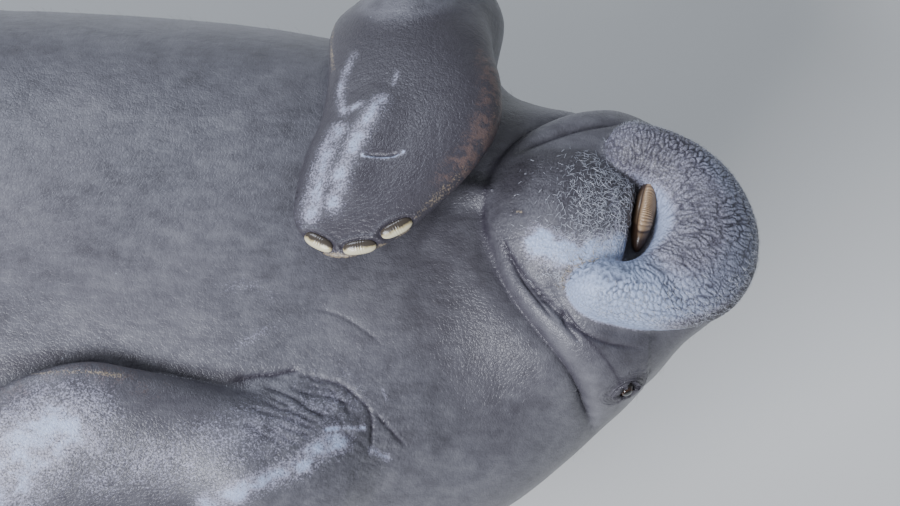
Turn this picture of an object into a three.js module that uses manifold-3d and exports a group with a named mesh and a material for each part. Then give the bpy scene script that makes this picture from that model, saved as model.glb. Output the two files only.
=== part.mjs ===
// A life-size manatee floating on its back with its flippers folded over its chest, borne by a
// plain display stand. Millimetres. +X runs to the snout, +Z is up, which is the animal's belly
// side, and -Y is the animal's left.
// The origin is the middle of the underside of the stand's base.

import * as THREE from "three";
import { mergeVertices } from "three/addons/utils/BufferGeometryUtils.js";
import Module from "manifold-3d";

const wasm = await Module();
wasm.setup();

const { abs, hypot, min, max, sin, cos, exp, atan2, sqrt, PI } = Math;
const degrees = (angle) => (angle * PI) / 180;

// Driving dimensions

const HEIGHT = 640; // of the level that the body's own heights are counted from
const GAP = 0.3; // between pieces that touch

const BASE = { length: 1500, width: 470, thick: 28, corner: 60, bevel: 5 };
const ROD = { radius: 27, front: 520, rear: -360 };

// Where the body is divided: the first four cuts face along X, the last three along the head
const CUTS = { paddle: -840, root: -600, loin: -40, belly: 600, nape: -143, jaw: -58, muzzle: 34 };

// Smooth stations

// The value at x of a smooth curve through stations [x, value], which are in rising order of x
function through(stations, x) {
  const last = stations.length - 1;
  if (x <= stations[0][0]) return stations[0][1];
  if (x >= stations[last][0]) return stations[last][1];
  let i = 0;
  while (x > stations[i + 1][0]) i++;
  const slope = (k) => {
    const a = stations[max(k - 1, 0)];
    const b = stations[min(k + 1, last)];
    return (b[1] - a[1]) / (b[0] - a[0]);
  };
  const [x0, y0] = stations[i];
  const [x1, y1] = stations[i + 1];
  const t = (x - x0) / (x1 - x0);
  const rise = (t * t * (3 - 2 * t)) * (y1 - y0);
  const bend = (x1 - x0) * t * (1 - t) * ((1 - t) * slope(i) - t * slope(i + 1));
  return y0 + rise + bend;
}

// Fields: negative inside, positive outside, in millimetres near the surface

function smoothMin(a, b, blend) {
  const h = max(blend - abs(a - b), 0) / blend;
  return min(a, b) - (h * h * blend) / 4;
}

const smoothMax = (a, b, blend) => -smoothMin(-a, -b, blend);

const fade = (x, from, to) => {
  const t = min(max((x - from) / (to - from), 0), 1);
  return t * t * (3 - 2 * t);
};

const mix = (a, b, t) => a + (b - a) * t;

function ellipsoid(x, y, z, rx, ry, rz) {
  const k0 = hypot(x / rx, y / ry, z / rz);
  const k1 = hypot(x / (rx * rx), y / (ry * ry), z / (rz * rz));
  return k0 < 1e-6 ? -min(rx, ry, rz) : (k0 * (k0 - 1)) / k1;
}

// Distance from the surface on which a measure of size is 1
function fromMeasure(measure, x, y, z) {
  const step = 0.5;
  const m = measure(x, y, z);
  const gx = measure(x + step, y, z) - m;
  const gy = measure(x, y + step, z) - m;
  const gz = measure(x, y, z + step) - m;
  return ((m - 1) * step) / max(hypot(gx, gy, gz), 1e-4);
}

function taperedRod(x, y, z, from, to, r0, r1) {
  const [ax, ay, az] = [to[0] - from[0], to[1] - from[1], to[2] - from[2]];
  const [px, py, pz] = [x - from[0], y - from[1], z - from[2]];
  const t = min(max((px * ax + py * ay + pz * az) / (ax * ax + ay * ay + az * az), 0), 1);
  return hypot(px - ax * t, py - ay * t, pz - az * t) - mix(r0, r1, t);
}

// Trunk: from the throat to the tail root, widest at the belly

const HALF_WIDTH = [
  [-1000, 60], [-800, 170], [-550, 262], [-250, 350], [150, 393], [550, 390],
  [850, 362], [1000, 330], [1110, 290], [1200, 240], [1330, 130],
];
const BELLY = [
  [-1000, -120], [-800, -72], [-550, 8], [-250, 72], [150, 112], [550, 114],
  [850, 98], [1000, 80], [1110, 62], [1200, 44], [1330, 0],
];
const BACK = [
  [-1000, -160], [-800, -220], [-550, -305], [-250, -400], [150, -458], [550, -448],
  [850, -396], [1000, -352], [1110, -312], [1200, -268], [1330, -170],
];
const TRUNK_END = { tail: -960, throat: 1300, round: 70 };
const TRUNK_SQUARENESS = 2.15;

function trunkMeasure(x, y, z) {
  const w = through(HALF_WIDTH, x);
  const top = through(BELLY, x);
  const bottom = through(BACK, x);
  const middle = mix(bottom, top, 0.45);
  const h = z > middle ? top - middle : middle - bottom;
  const n = TRUNK_SQUARENESS;
  const section = (abs(y / w) ** n + abs((z - middle) / h) ** n) ** (1 / n);
  const past = max(x - TRUNK_END.throat, TRUNK_END.tail - x, 0) / TRUNK_END.round;
  return hypot(section, past);
}

// Tail: a flat round paddle, thickest along its middle

const PADDLE = { middle: -1095, length: 355, halfWidth: 305, thick: 38, height: -142, lift: 0.03 };

function paddleMeasure(x, y, z) {
  const along = (x - PADDLE.middle) / PADDLE.length;
  const near = min(max(along, -1), 1);
  const w = PADDLE.halfWidth * (1 - 0.14 * near);
  const t = PADDLE.thick * (1 + 0.42 * near);
  const level = PADDLE.height - PADDLE.lift * (x - PADDLE.middle) - 14 * (y / w) ** 2;
  const outline = (abs(along) ** 2.35 + abs(y / w) ** 2.35) ** (1 / 2.35);
  return hypot(outline, (z - level) / t);
}

// Head: its own frame has the middle of the chin as origin, and is turned to the animal's left

const HEAD = { x: 1246, y: 37, turn: degrees(-13), roll: degrees(9), pitch: degrees(26) };

function toHead(x, y, z) {
  const [dx, dy] = [x - HEAD.x, y - HEAD.y];
  const across = -dx * sin(HEAD.turn) + dy * cos(HEAD.turn);
  return [
    dx * cos(HEAD.turn) + dy * sin(HEAD.turn),
    across * cos(HEAD.roll) - z * sin(HEAD.roll),
    across * sin(HEAD.roll) + z * cos(HEAD.roll),
  ];
}

function toBody([x, y, z]) {
  const across = y * cos(HEAD.roll) + z * sin(HEAD.roll);
  return [
    HEAD.x + x * cos(HEAD.turn) - across * sin(HEAD.turn),
    HEAD.y + x * sin(HEAD.turn) + across * cos(HEAD.turn),
    -y * sin(HEAD.roll) + z * cos(HEAD.roll),
  ];
}

// An ellipsoid of the skull, its long axis raised by the head's pitch
function pitched(x, y, z, at, radii) {
  const [dx, dz] = [x - at[0], z - at[2]];
  return ellipsoid(
    dx * cos(HEAD.pitch) + dz * sin(HEAD.pitch),
    y - at[1],
    -dx * sin(HEAD.pitch) + dz * cos(HEAD.pitch),
    ...radii,
  );
}

const CRANIUM = { at: [-85, 0, -100], radii: [175, 176, 128] };
const SNOUT = { at: [72, 0, -32], radii: [136, 112, 82] };
const CHEEK = { at: [14, 100, -18], radii: [114, 82, 86] };
const THROAT = { at: [-45, 0, 14], radii: [112, 125, 78] };
const CHIN = { at: [-12, -7, 58], radii: [98, 90, 56], lipX: 60 };
const GUM = { at: [76, 15, 68], radii: [16, 50, 24] };

// The upper lip is a horseshoe pad round the chin that narrows to a lobe at each end. Its path is
// a radius, and each lobe ends a tip's length past it, the right one pushed back by the turned head
const LIP = {
  centreX: 45,
  end: degrees(89),
  front: { path: 107, z: 58, across: 65.5, deep: 50, tilt: degrees(28) },
  lobe: { path: 90, z: 74, across: 34, deep: 46, tilt: degrees(8) },
  tip: { right: 34, left: 44 },
};

function lipMeasure(x, y, z) {
  const side = abs(y);
  const dx = x - LIP.centreX;
  const angle = min(atan2(side, dx), LIP.end);
  const t = fade(angle / LIP.end, 0, 1);
  const { front, lobe } = LIP;
  const path = mix(front.path, lobe.path, t);
  const tilt = mix(front.tilt, lobe.tilt, t);
  const outward = dx * cos(angle) + side * sin(angle) - path;
  const beyond = -dx * sin(angle) + side * cos(angle);
  const up = z - mix(front.z, lobe.z, t);
  const u = outward * cos(tilt) - up * sin(tilt);
  const w = outward * sin(tilt) + up * cos(tilt);
  return hypot(
    u / mix(front.across, lobe.across, t),
    w / mix(front.deep, lobe.deep, t),
    beyond / (y > 0 ? LIP.tip.right : LIP.tip.left),
  );
}

// The fold of the throat is a line across it that sweeps forward at the sides
const FOLD = { x: -112, sweep: 0.0021, deep: 12, wide: 48, low: -190, high: -90 };

function foldDepth(x, y, z) {
  const past = x - (FOLD.x + FOLD.sweep * y * y);
  return FOLD.deep * fade(z, FOLD.low, FOLD.high) * exp(-((past / FOLD.wide) ** 2));
}

const chinField = (x, y, z) => {
  const dome = ellipsoid(x - CHIN.at[0], y - CHIN.at[1], z - CHIN.at[2], ...CHIN.radii);
  return smoothMax(dome, x - CHIN.lipX, 12);
};

const lipField = (x, y, z) => fromMeasure(lipMeasure, x, y, z);

// The head without its lip and chin
function skullField(x, y, z) {
  let d = pitched(x, y, z, CRANIUM.at, CRANIUM.radii);
  d = smoothMin(d, pitched(x, y, z, SNOUT.at, SNOUT.radii), 90);
  d = smoothMin(d, ellipsoid(x - CHEEK.at[0], abs(y) - CHEEK.at[1], z - CHEEK.at[2], ...CHEEK.radii), 40);
  return smoothMin(d, ellipsoid(x - THROAT.at[0], y, z - THROAT.at[2], ...THROAT.radii), 50);
}

// Flippers: each has a frame with u to its tip, v to its leading edge and w out of its back. The
// right one lies flat and shows its full width, and the left one is seen along its drawn-in edge

const FLIPPER = {
  right: {
    trailing: [
      [-70, -70], [0, -96], [50, -93], [90, -82], [150, -66], [200, -60], [245, -66], [290, -67],
      [340, -60], [370, -46],
    ],
    leading: [
      [-70, 80], [0, 96], [60, 114], [120, 137], [180, 149], [230, 138], [290, 104], [340, 62],
      [370, 40],
    ],
  },
  left: {
    trailing: [
      [-70, -60], [0, -72], [80, -72], [150, -64], [220, -64], [290, -67], [340, -60], [370, -46],
    ],
    leading: [
      [-70, 76], [0, 90], [60, 106], [120, 124], [170, 134], [230, 124], [290, 96], [340, 58],
      [370, 40],
    ],
  },
  thick: [[-70, 46], [0, 40], [100, 28], [200, 21], [300, 15], [370, 10]],
  root: -40,
  blunt: 318,
  tip: 48,
  length: 366,
};

const unit = (v) => {
  const r = hypot(...v);
  return v.map((c) => c / r);
};
const dot = (a, b) => a[0] * b[0] + a[1] * b[1] + a[2] * b[2];
const cross = (a, b) => [
  a[1] * b[2] - a[2] * b[1],
  a[2] * b[0] - a[0] * b[2],
  a[0] * b[1] - a[1] * b[0],
];

// A limb's frame from its wrist and tip and the side that its leading edge is on
function limb({ shoulder, elbow, wrist, tip, lead, side, arch, cup, outline }) {
  const u = unit(tip.map((c, i) => c - wrist[i]));
  const across = lead.map((c, i) => c - u[i] * dot(lead, u));
  const v = unit(across);
  const w = cross(u, v).map((c) => c * side);
  return { shoulder, elbow, wrist, u, v, w, arch, cup, outline };
}

const LIMBS = {
  right: limb({
    shoulder: [1060, 220, -95],
    elbow: [1082, 318, -36],
    wrist: [1056, 312, 12],
    tip: [981, -3, 128],
    lead: [1, 0.1, 0.12],
    side: 1,
    arch: 40,
    cup: 0.0006,
    outline: FLIPPER.right,
  }),
  left: limb({
    shoulder: [1005, -172, -45],
    elbow: [935, -218, 2],
    wrist: [866, -246, 44],
    tip: [500, -274, 80],
    lead: [0.02, 0.9, 0.44],
    side: -1,
    arch: 14,
    cup: 0.0014,
    outline: FLIPPER.left,
  }),
};
const UPPER_ARM = [88, 69];
const FOREARM = [72, 52];
const ELBOW = 74; // radius of the ball that the flipper is socketed on
const ARM_BLEND = 45;

function flipperMeasure(limb, x, y, z) {
  const p = [x - limb.wrist[0], y - limb.wrist[1], z - limb.wrist[2]];
  const [u, v, w] = [dot(p, limb.u), dot(p, limb.v), dot(p, limb.w)];
  const lead = through(limb.outline.leading, u);
  const trail = through(limb.outline.trailing, u);
  const middle = (lead + trail) / 2;
  const a = (lead - trail) / 2;
  const share = u / FLIPPER.length;
  const level = 4 * limb.arch * share * (1 - share) - limb.cup * (v - middle) ** 2;
  const b = through(FLIPPER.thick, u) * (1 + 0.2 * min(max((v - middle) / a, -1), 1));
  const past = max((u - FLIPPER.blunt) / FLIPPER.tip, (FLIPPER.root - u) / 50, 0);
  const section = (abs((v - middle) / a) ** 2.5 + abs((w - level) / b) ** 2.5) ** 0.4;
  return hypot(section, past);
}

const upperArmField = (limb, x, y, z) => taperedRod(x, y, z, limb.shoulder, limb.elbow, ...UPPER_ARM);

function flipperField(limb, x, y, z) {
  const forearm = taperedRod(x, y, z, limb.elbow, limb.wrist, ...FOREARM);
  return smoothMin(forearm, fromMeasure((...p) => flipperMeasure(limb, ...p), x, y, z), 40);
}

// The whole skin without its flippers' free ends, with heights counted from HEIGHT

function headAndTrunk(x, y, z) {
  const h = toHead(x, y, z);
  const d = smoothMin(fromMeasure(trunkMeasure, x, y, z), skullField(...h), 60);
  return d + foldDepth(...h);
}

function shoulders(x, y, z) {
  const arm = LIMBS[y > 0 ? "right" : "left"];
  return smoothMin(headAndTrunk(x, y, z), upperArmField(arm, x, y, z), ARM_BLEND);
}

const tailField = (x, y, z) =>
  smoothMin(fromMeasure(trunkMeasure, x, y, z), fromMeasure(paddleMeasure, x, y, z), 110);

// The zero surface of a field in a box, as a closed mesh of near-square faces

const CORNERS = [0, 1, 2, 3, 4, 5, 6, 7].map((n) => [n & 1, (n >> 1) & 1, (n >> 2) & 1]);
const SIDES = [
  [0, 2, 6, 4], [1, 5, 7, 3], [0, 4, 5, 1], [2, 3, 7, 6], [0, 1, 3, 2], [4, 6, 7, 5],
];
const edgeName = (a, b) => min(a, b) * 8 + max(a, b);

// The edges of a cell that the surface crosses, in groups that each belong to one sheet of it
function sheets(value) {
  const sheet = new Map();
  for (const side of SIDES)
    for (let i = 0; i < 4; i++) {
      if (value[side[i]] >= 0 || value[side[(i + 3) % 4]] < 0) continue;
      let j = i;
      while (value[side[(j + 1) % 4]] < 0) j++;
      const ends = [edgeName(side[(i + 3) % 4], side[i]), edgeName(side[j % 4], side[(j + 1) % 4])];
      const joined = new Set(ends.flatMap((end) => [...(sheet.get(end) ?? [end])]));
      for (const edge of joined) sheet.set(edge, joined);
    }
  return new Set(sheet.values());
}

function surfaceOf(open, low, high, cell) {
  const size = low.map((c, i) => Math.ceil((high[i] - c) / cell[i]) + 1);
  const walls = low.map((c, i) => [c + cell[i] * 1.5, c + cell[i] * (size[i] - 1.5)]);
  const field = (...p) => max(open(...p), ...p.map((c, i) => max(walls[i][0] - c, c - walls[i][1])));
  const at = (p) => p.map((c, i) => low[i] + c * cell[i]);
  const index = (p) => (p[0] * size[1] + p[1]) * size[2] + p[2];
  const value = new Float64Array(size[0] * size[1] * size[2]);
  const everyPoint = (first, act) => {
    for (let i = first; i < size[0] - 1 + !first; i++)
      for (let j = first; j < size[1] - 1 + !first; j++)
        for (let k = first; k < size[2] - 1 + !first; k++) act([i, j, k]);
  };
  everyPoint(0, (p) => (value[index(p)] = field(...at(p))));

  const position = [];
  const vertex = new Map();
  everyPoint(0, (p) => {
    if (p.some((c, i) => c === size[i] - 1)) return;
    const v = CORNERS.map((o) => value[index(p.map((c, i) => c + o[i]))]);
    if (v.every((d) => d < 0) || v.every((d) => d >= 0)) return;
    for (const sheet of sheets(v)) {
      const middle = [0, 0, 0];
      for (const edge of sheet) {
        const [a, b] = [edge >> 3, edge & 7];
        const t = v[a] / (v[a] - v[b]);
        for (let n = 0; n < 3; n++) middle[n] += mix(CORNERS[a][n], CORNERS[b][n], t) / sheet.size;
        vertex.set(index(p) * 64 + edge, position.length / 3);
      }
      position.push(...settled(field, at(p.map((c, i) => c + middle[i])), min(...cell) / 2));
    }
  });

  const faces = [];
  everyPoint(1, (p) => {
    const inside = value[index(p)] < 0;
    for (let n = 0; n < 3; n++) {
      const next = [...p];
      next[n]++;
      if (inside === value[index(next)] < 0) continue;
      const [m1, m2] = [(n + 1) % 3, (n + 2) % 3];
      const ring = [[1, 1], [0, 1], [0, 0], [1, 0]].map(([back1, back2]) => {
        const q = [...p];
        q[m1] -= back1;
        q[m2] -= back2;
        const corner = (back1 << m1) | (back2 << m2);
        return vertex.get(index(q) * 64 + edgeName(corner, corner | (1 << n)));
      });
      if (!inside) ring.reverse();
      faces.push(ring[0], ring[1], ring[2], ring[0], ring[2], ring[3]);
    }
  });
  const geometry = new THREE.BufferGeometry();
  geometry.setAttribute("position", new THREE.Float32BufferAttribute(position, 3));
  geometry.setIndex(faces);
  return geometry;
}

// A point moved onto the field's surface by a few short steps down its slope
function settled(field, p, furthest) {
  const step = 0.5;
  for (let n = 0; n < 4; n++) {
    const d = field(...p);
    const slope = [0, 1, 2].map((i) => {
      const q = [...p];
      q[i] += step;
      return (field(...q) - d) / step;
    });
    const size = max(dot(slope, slope), 0.05);
    const move = min(max(d / size, -furthest), furthest);
    p = p.map((c, i) => c - (slope[i] * move));
  }
  return p;
}

// Solids

function solid(geometry) {
  const bare = geometry.clone();
  for (const name of Object.keys(bare.attributes)) if (name !== "position") bare.deleteAttribute(name);
  const merged = mergeVertices(bare, 1e-4);
  const made = new wasm.Manifold(
    new wasm.Mesh({
      numProp: 3,
      vertProperties: merged.attributes.position.array,
      triVerts: new Uint32Array(merged.index.array),
    }),
  );
  return made;
}

const largest = (made) => made.decompose().sort((a, b) => b.volume() - a.volume())[0];

function geometryOf(made) {
  const mesh = made.getMesh();
  const geometry = new THREE.BufferGeometry();
  geometry.setAttribute("position", new THREE.BufferAttribute(new Float32Array(mesh.vertProperties), 3));
  geometry.setIndex(new THREE.BufferAttribute(new Uint32Array(mesh.triVerts), 1));
  return geometry;
}

// A copy of a solid, larger by a gap's width at its own outside
function swollen(made) {
  const { min: low, max: high } = made.boundingBox();
  const middle = low.map((c, i) => (c + high[i]) / 2);
  const scale = low.map((c, i) => 1 + (2 * GAP) / (high[i] - c));
  return made.translate(middle.map((c) => -c)).scale(scale).translate(middle);
}

// A geometry made round the Z axis, with that axis laid along a direction at a point
function laid(geometry, at, direction) {
  const turn = new THREE.Quaternion().setFromUnitVectors(
    new THREE.Vector3(0, 0, 1),
    new THREE.Vector3(...unit(direction)),
  );
  return geometry.applyQuaternion(turn).translate(...at);
}

// The point where a line leaves a field, and the field's outward direction there
function surfacePoint(field, from, direction, reach = 300) {
  let [near, far] = [0, reach];
  for (let n = 0; n < 30; n++) {
    const middle = (near + far) / 2;
    if (field(...from.map((c, i) => c + direction[i] * middle)) < 0) near = middle;
    else far = middle;
  }
  const at = from.map((c, i) => c + direction[i] * near);
  const here = field(...at);
  const normal = [0, 1, 2].map((i) => field(...at.map((c, j) => c + (i === j))) - here);
  return { at, normal: unit(normal) };
}

// A copy of a solid, a gap's width larger at a hundred millimetres from a point inside it
const grown = (made, inside) => {
  const growth = 1 + (1.6 * GAP) / 100;
  return made.translate(inside.map((c) => -c)).scale([growth, growth, growth]).translate(inside);
};

// The half of space before or behind a cut, set back by half a gap
function side(cut, sign, turn = 0, pivot = [0, 0]) {
  const reach = 4000;
  const box = new THREE.BoxGeometry(reach, reach, reach);
  box.translate(cut + sign * (reach / 2 - GAP / 2), 0, 0);
  box.rotateZ(turn);
  box.translate(...pivot, 0);
  return solid(box);
}

const AHEAD = 1;
const BEHIND = -1;
const headSide = (cut, sign) => side(cut, sign, HEAD.turn, [HEAD.x, HEAD.y]);

function fromHead(made) {
  const [roll, turn] = [(-HEAD.roll * 180) / PI, (HEAD.turn * 180) / PI];
  return made.rotate([roll, 0, 0]).rotate([0, 0, turn]).translate([HEAD.x, HEAD.y, 0]);
}

const round = (at, radii, across = 20, down = 14) => {
  const ball = new THREE.SphereGeometry(1, across, down);
  ball.scale(...radii);
  ball.translate(...at);
  return solid(ball);
};

// Finishes

const HIDE = { color: 0x5f5e66, roughness: 0.5, metalness: 0 };
const LIP_HIDE = { color: 0x787883, roughness: 0.6, metalness: 0 };
const HORN = { color: 0xa98b6b, roughness: 0.5, metalness: 0 };
const NAIL = { color: 0xc9bf9a, roughness: 0.35, metalness: 0 };
const EYE = { color: 0x17120f, roughness: 0.08, metalness: 0 };
const BOARD = { color: 0x2f3134, roughness: 0.6, metalness: 0 };
const STEEL = { color: 0xb4b7ba, roughness: 0.35, metalness: 1 };

const manatee = new THREE.Group();

function add(name, made, finish) {
  const mesh = new THREE.Mesh(geometryOf(largest(made)), new THREE.MeshStandardMaterial(finish));
  mesh.name = name;
  mesh.position.z = HEIGHT;
  manatee.add(mesh);
}

// Torso and tail

const loin = solid(surfaceOf(shoulders, [-780, -480, -560], [190, 480, 260], [80, 66, 60]))
  .subtract(side(CUTS.root, BEHIND))
  .subtract(side(CUTS.loin, AHEAD));
const belly = solid(surfaceOf(shoulders, [-230, -480, -560], [820, 480, 260], [80, 66, 60]))
  .subtract(side(CUTS.loin, BEHIND))
  .subtract(side(CUTS.belly, AHEAD));
const chest = solid(surfaceOf(shoulders, [460, -470, -520], [1330, 470, 250], [60, 54, 52]))
  .subtract(side(CUTS.belly, BEHIND))
  .subtract(headSide(CUTS.nape, AHEAD));
const tailRoot = solid(surfaceOf(tailField, [-970, -440, -440], [-450, 440, 180], [56, 54, 40]))
  .subtract(side(CUTS.paddle, BEHIND))
  .subtract(side(CUTS.root, AHEAD));
const tailPaddle = solid(surfaceOf(tailField, [-1560, -420, -320], [-710, 420, 20], [56, 54, 16]))
  .subtract(side(CUTS.paddle, AHEAD));

// Head and neck

const throat = solid(surfaceOf(shoulders, [870, -410, -450], [1400, 460, 240], [32, 31, 30]));
const front = solid(surfaceOf(shoulders, [1140, -370, -350], [1550, 410, 220], [26, 25, 25]));
const chin = fromHead(solid(surfaceOf(chinField, [-160, -146, -40], [120, 140, 160], [23, 22, 19])));
const lipBox = [[-60, -190, -50], [290, 190, 180], [22, 21, 19]];
const lipRoom = fromHead(solid(surfaceOf((...p) => lipField(...p) - 1.4, ...lipBox)));
const chinRoom = swollen(chin);
const lip = fromHead(solid(surfaceOf(lipField, ...lipBox))).subtract(chinRoom);
const gum = fromHead(round(GUM.at, GUM.radii, 14, 9)).subtract(chinRoom).subtract(lipRoom);
const hollowed = (made) => made.subtract(chinRoom).subtract(lipRoom).subtract(swollen(gum));

const neck = hollowed(throat).subtract(headSide(CUTS.nape, BEHIND)).subtract(headSide(CUTS.jaw, AHEAD));
const jaw = hollowed(throat).subtract(headSide(CUTS.jaw, BEHIND)).subtract(headSide(CUTS.muzzle, AHEAD));

const headField = (...p) => min(shoulders(...toBody(p)), lipField(...p));
const EYE_AT = { x: 98, z: -26, radius: 11, sunk: 6, lid: 4.5 };
const NOSTRIL = { y: 24, z: -8, radii: [9, 12, 7] };

let muzzle = hollowed(front).subtract(headSide(CUTS.muzzle, BEHIND));
const eyes = {};
for (const [name, sign] of [["right", 1], ["left", -1]]) {
  const eye = surfacePoint(headField, [EYE_AT.x, 0, EYE_AT.z], [0, sign, 0]);
  const middle = eye.at.map((c, i) => c - eye.normal[i] * EYE_AT.sunk);
  eyes[name] = fromHead(round(middle, [1, 1, 1].map(() => EYE_AT.radius), 12, 8));
  const ring = new THREE.TorusGeometry(EYE_AT.radius, EYE_AT.lid, 6, 13);
  ring.scale(1.15, 1, 1);
  const lids = fromHead(solid(laid(ring, eye.at.map((c, i) => c - eye.normal[i] * 2), eye.normal)));
  muzzle = muzzle.add(lids).subtract(swollen(eyes[name]));
  const nostril = surfacePoint(headField, [120, sign * NOSTRIL.y, NOSTRIL.z], [1, 0, 0]);
  muzzle = muzzle.subtract(fromHead(round(nostril.at, NOSTRIL.radii, 12, 8)));
}

// Flippers, each on the ball that its upper arm ends in

// Each nail: its place along and across the flipper, and how far its plate is turned to follow the rim
const NAILS = [[350, -26, degrees(-23)], [352, 22, degrees(22)], [328, 58, degrees(38)]];
const NAIL_SIZE = [9, 20, 5];

function flipper(arm) {
  const onBody = (u, v, w) => arm.wrist.map((c, i) => c + arm.u[i] * u + arm.v[i] * v + arm.w[i] * w);
  const field = (...p) => flipperField(arm, ...onBody(...p));
  const placed = (made) => made.transform([...arm.u, 0, ...arm.v, 0, ...arm.w, 0, ...arm.wrist, 1]);
  const ball = round(arm.elbow, [ELBOW, ELBOW, ELBOW], 16, 10);
  let flesh = placed(solid(surfaceOf(field, [-190, -170, -170], [430, 200, 150], [30, 28, 14])));
  flesh = flesh.subtract(swollen(ball));
  const inside = [arm.elbow[0], arm.elbow[1] * 0.4, arm.elbow[2] - 120];
  flesh = flesh.subtract(grown(chest, inside)).subtract(grown(neck, inside));
  const nails = NAILS.map(([u, v, turn]) => {
    const seat = surfacePoint(field, [u, v, 0], [0, 0, 1], 120);
    const plate = new THREE.SphereGeometry(1, 9, 6);
    plate.scale(...NAIL_SIZE);
    plate.rotateZ(turn);
    return placed(solid(laid(plate, seat.at, seat.normal)));
  });
  for (const nail of nails) flesh = flesh.subtract(swollen(nail));
  return { ball, flesh, nails };
}

const right = flipper(LIMBS.right);
const left = flipper(LIMBS.left);
const shoulderGirdle = chest.add(right.ball).add(left.ball).subtract(headSide(CUTS.nape, AHEAD));

// Display stand

function rod(x) {
  const foot = BASE.thick - HEIGHT + GAP;
  const top = through(BACK, x) + 60;
  const shaft = new THREE.CylinderGeometry(ROD.radius, ROD.radius, top - foot, 24);
  shaft.rotateX(PI / 2);
  shaft.translate(x, 0, (top + foot) / 2);
  return solid(shaft);
}

function basePlate() {
  const { length, width, thick, corner, bevel } = BASE;
  const outline = new THREE.Shape();
  const [a, b] = [length / 2 - bevel, width / 2 - bevel];
  outline.moveTo(-a + corner, -b);
  outline.lineTo(a - corner, -b);
  outline.absarc(a - corner, -b + corner, corner, -PI / 2, 0);
  outline.absarc(a - corner, b - corner, corner, 0, PI / 2);
  outline.absarc(-a + corner, b - corner, corner, PI / 2, PI);
  outline.absarc(-a + corner, -b + corner, corner, PI, 1.5 * PI);
  const plate = new THREE.ExtrudeGeometry(outline, {
    depth: thick - 2 * bevel,
    bevelSize: bevel,
    bevelThickness: bevel,
    bevelSegments: 1,
    curveSegments: 5,
  });
  return solid(plate.translate(0, 0, bevel - HEIGHT));
}

const lowered = (made) => made.translate([0, 0, -GAP]);
const rodFront = rod(ROD.front).subtract(lowered(belly));
const rodRear = rod(ROD.rear).subtract(lowered(loin));

add("torso_loin", loin, HIDE);
add("torso_belly", belly, HIDE);
add("torso_chest", shoulderGirdle, HIDE);
add("tail_root", tailRoot, HIDE);
add("tail_paddle", tailPaddle, HIDE);
add("neck", neck, HIDE);
add("head", jaw, HIDE);
add("muzzle", muzzle, HIDE);
add("lip_pad", lip, LIP_HIDE);
add("chin", chin, LIP_HIDE);
add("mouth_pad", gum, HORN);
add("eye_right", eyes.right, EYE);
add("eye_left", eyes.left, EYE);
add("flipper_right", right.flesh, HIDE);
add("flipper_left", left.flesh, HIDE);
right.nails.forEach((nail, i) => add("nail_right_" + (i + 1), nail, NAIL));
left.nails.forEach((nail, i) => add("nail_left_" + (i + 1), nail, NAIL));
add("stand_base", basePlate(), BOARD);
add("stand_rod_front", rodFront, STEEL);
add("stand_rod_rear", rodRear, STEEL);

export default manatee;
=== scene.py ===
import math

import bpy
import numpy as np
from mathutils import Matrix, Vector


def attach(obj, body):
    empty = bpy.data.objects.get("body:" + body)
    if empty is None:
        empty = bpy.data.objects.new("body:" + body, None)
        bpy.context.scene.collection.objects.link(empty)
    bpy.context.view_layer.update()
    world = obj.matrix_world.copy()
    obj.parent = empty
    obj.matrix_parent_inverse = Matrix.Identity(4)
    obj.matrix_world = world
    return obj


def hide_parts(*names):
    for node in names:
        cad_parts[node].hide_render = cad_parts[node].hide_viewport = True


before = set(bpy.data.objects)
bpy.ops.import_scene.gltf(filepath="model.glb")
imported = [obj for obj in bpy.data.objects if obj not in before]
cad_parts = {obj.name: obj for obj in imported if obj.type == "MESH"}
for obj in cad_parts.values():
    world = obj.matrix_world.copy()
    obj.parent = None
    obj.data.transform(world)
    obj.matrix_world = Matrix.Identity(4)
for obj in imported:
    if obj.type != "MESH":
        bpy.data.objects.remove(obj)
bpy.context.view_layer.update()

# Camera. The photograph looks steeply down on the animal's belly from its left side, with its head
# at the right edge of the frame and its tail far out of it on the left.
PHOTO_SIZE = (900, 506)
CAMERA_TARGET = Vector((1.099, 0.0, 0.715))
CAMERA_DISTANCE = 2.2
CAMERA_ELEVATION = math.radians(74)
FRAME_WIDTH = 900 * 0.00115
SENSOR = 36.0

camera = bpy.data.objects.new("photo_camera", bpy.data.cameras.new("photo_camera"))
bpy.context.scene.collection.objects.link(camera)
toward_camera = Vector((0, -math.cos(CAMERA_ELEVATION), math.sin(CAMERA_ELEVATION)))
camera.location = CAMERA_TARGET + toward_camera * CAMERA_DISTANCE
camera.rotation_mode = "QUATERNION"
camera.rotation_quaternion = (-toward_camera).to_track_quat("-Z", "Y")
camera.data.sensor_width = SENSOR
camera.data.lens = SENSOR * CAMERA_DISTANCE / FRAME_WIDTH
camera.data.clip_end = 50
bpy.context.scene.camera = camera

# Skin. The real animal is one unbroken hide over flesh, slate grey, wet and finely wrinkled, with a
# horseshoe lip round the chin, deep folds at the throat and creased arm roots. Its form is worked
# out in millimetres round the body's own level, then laid as one closed mesh.
LEVEL = 640.0


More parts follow.
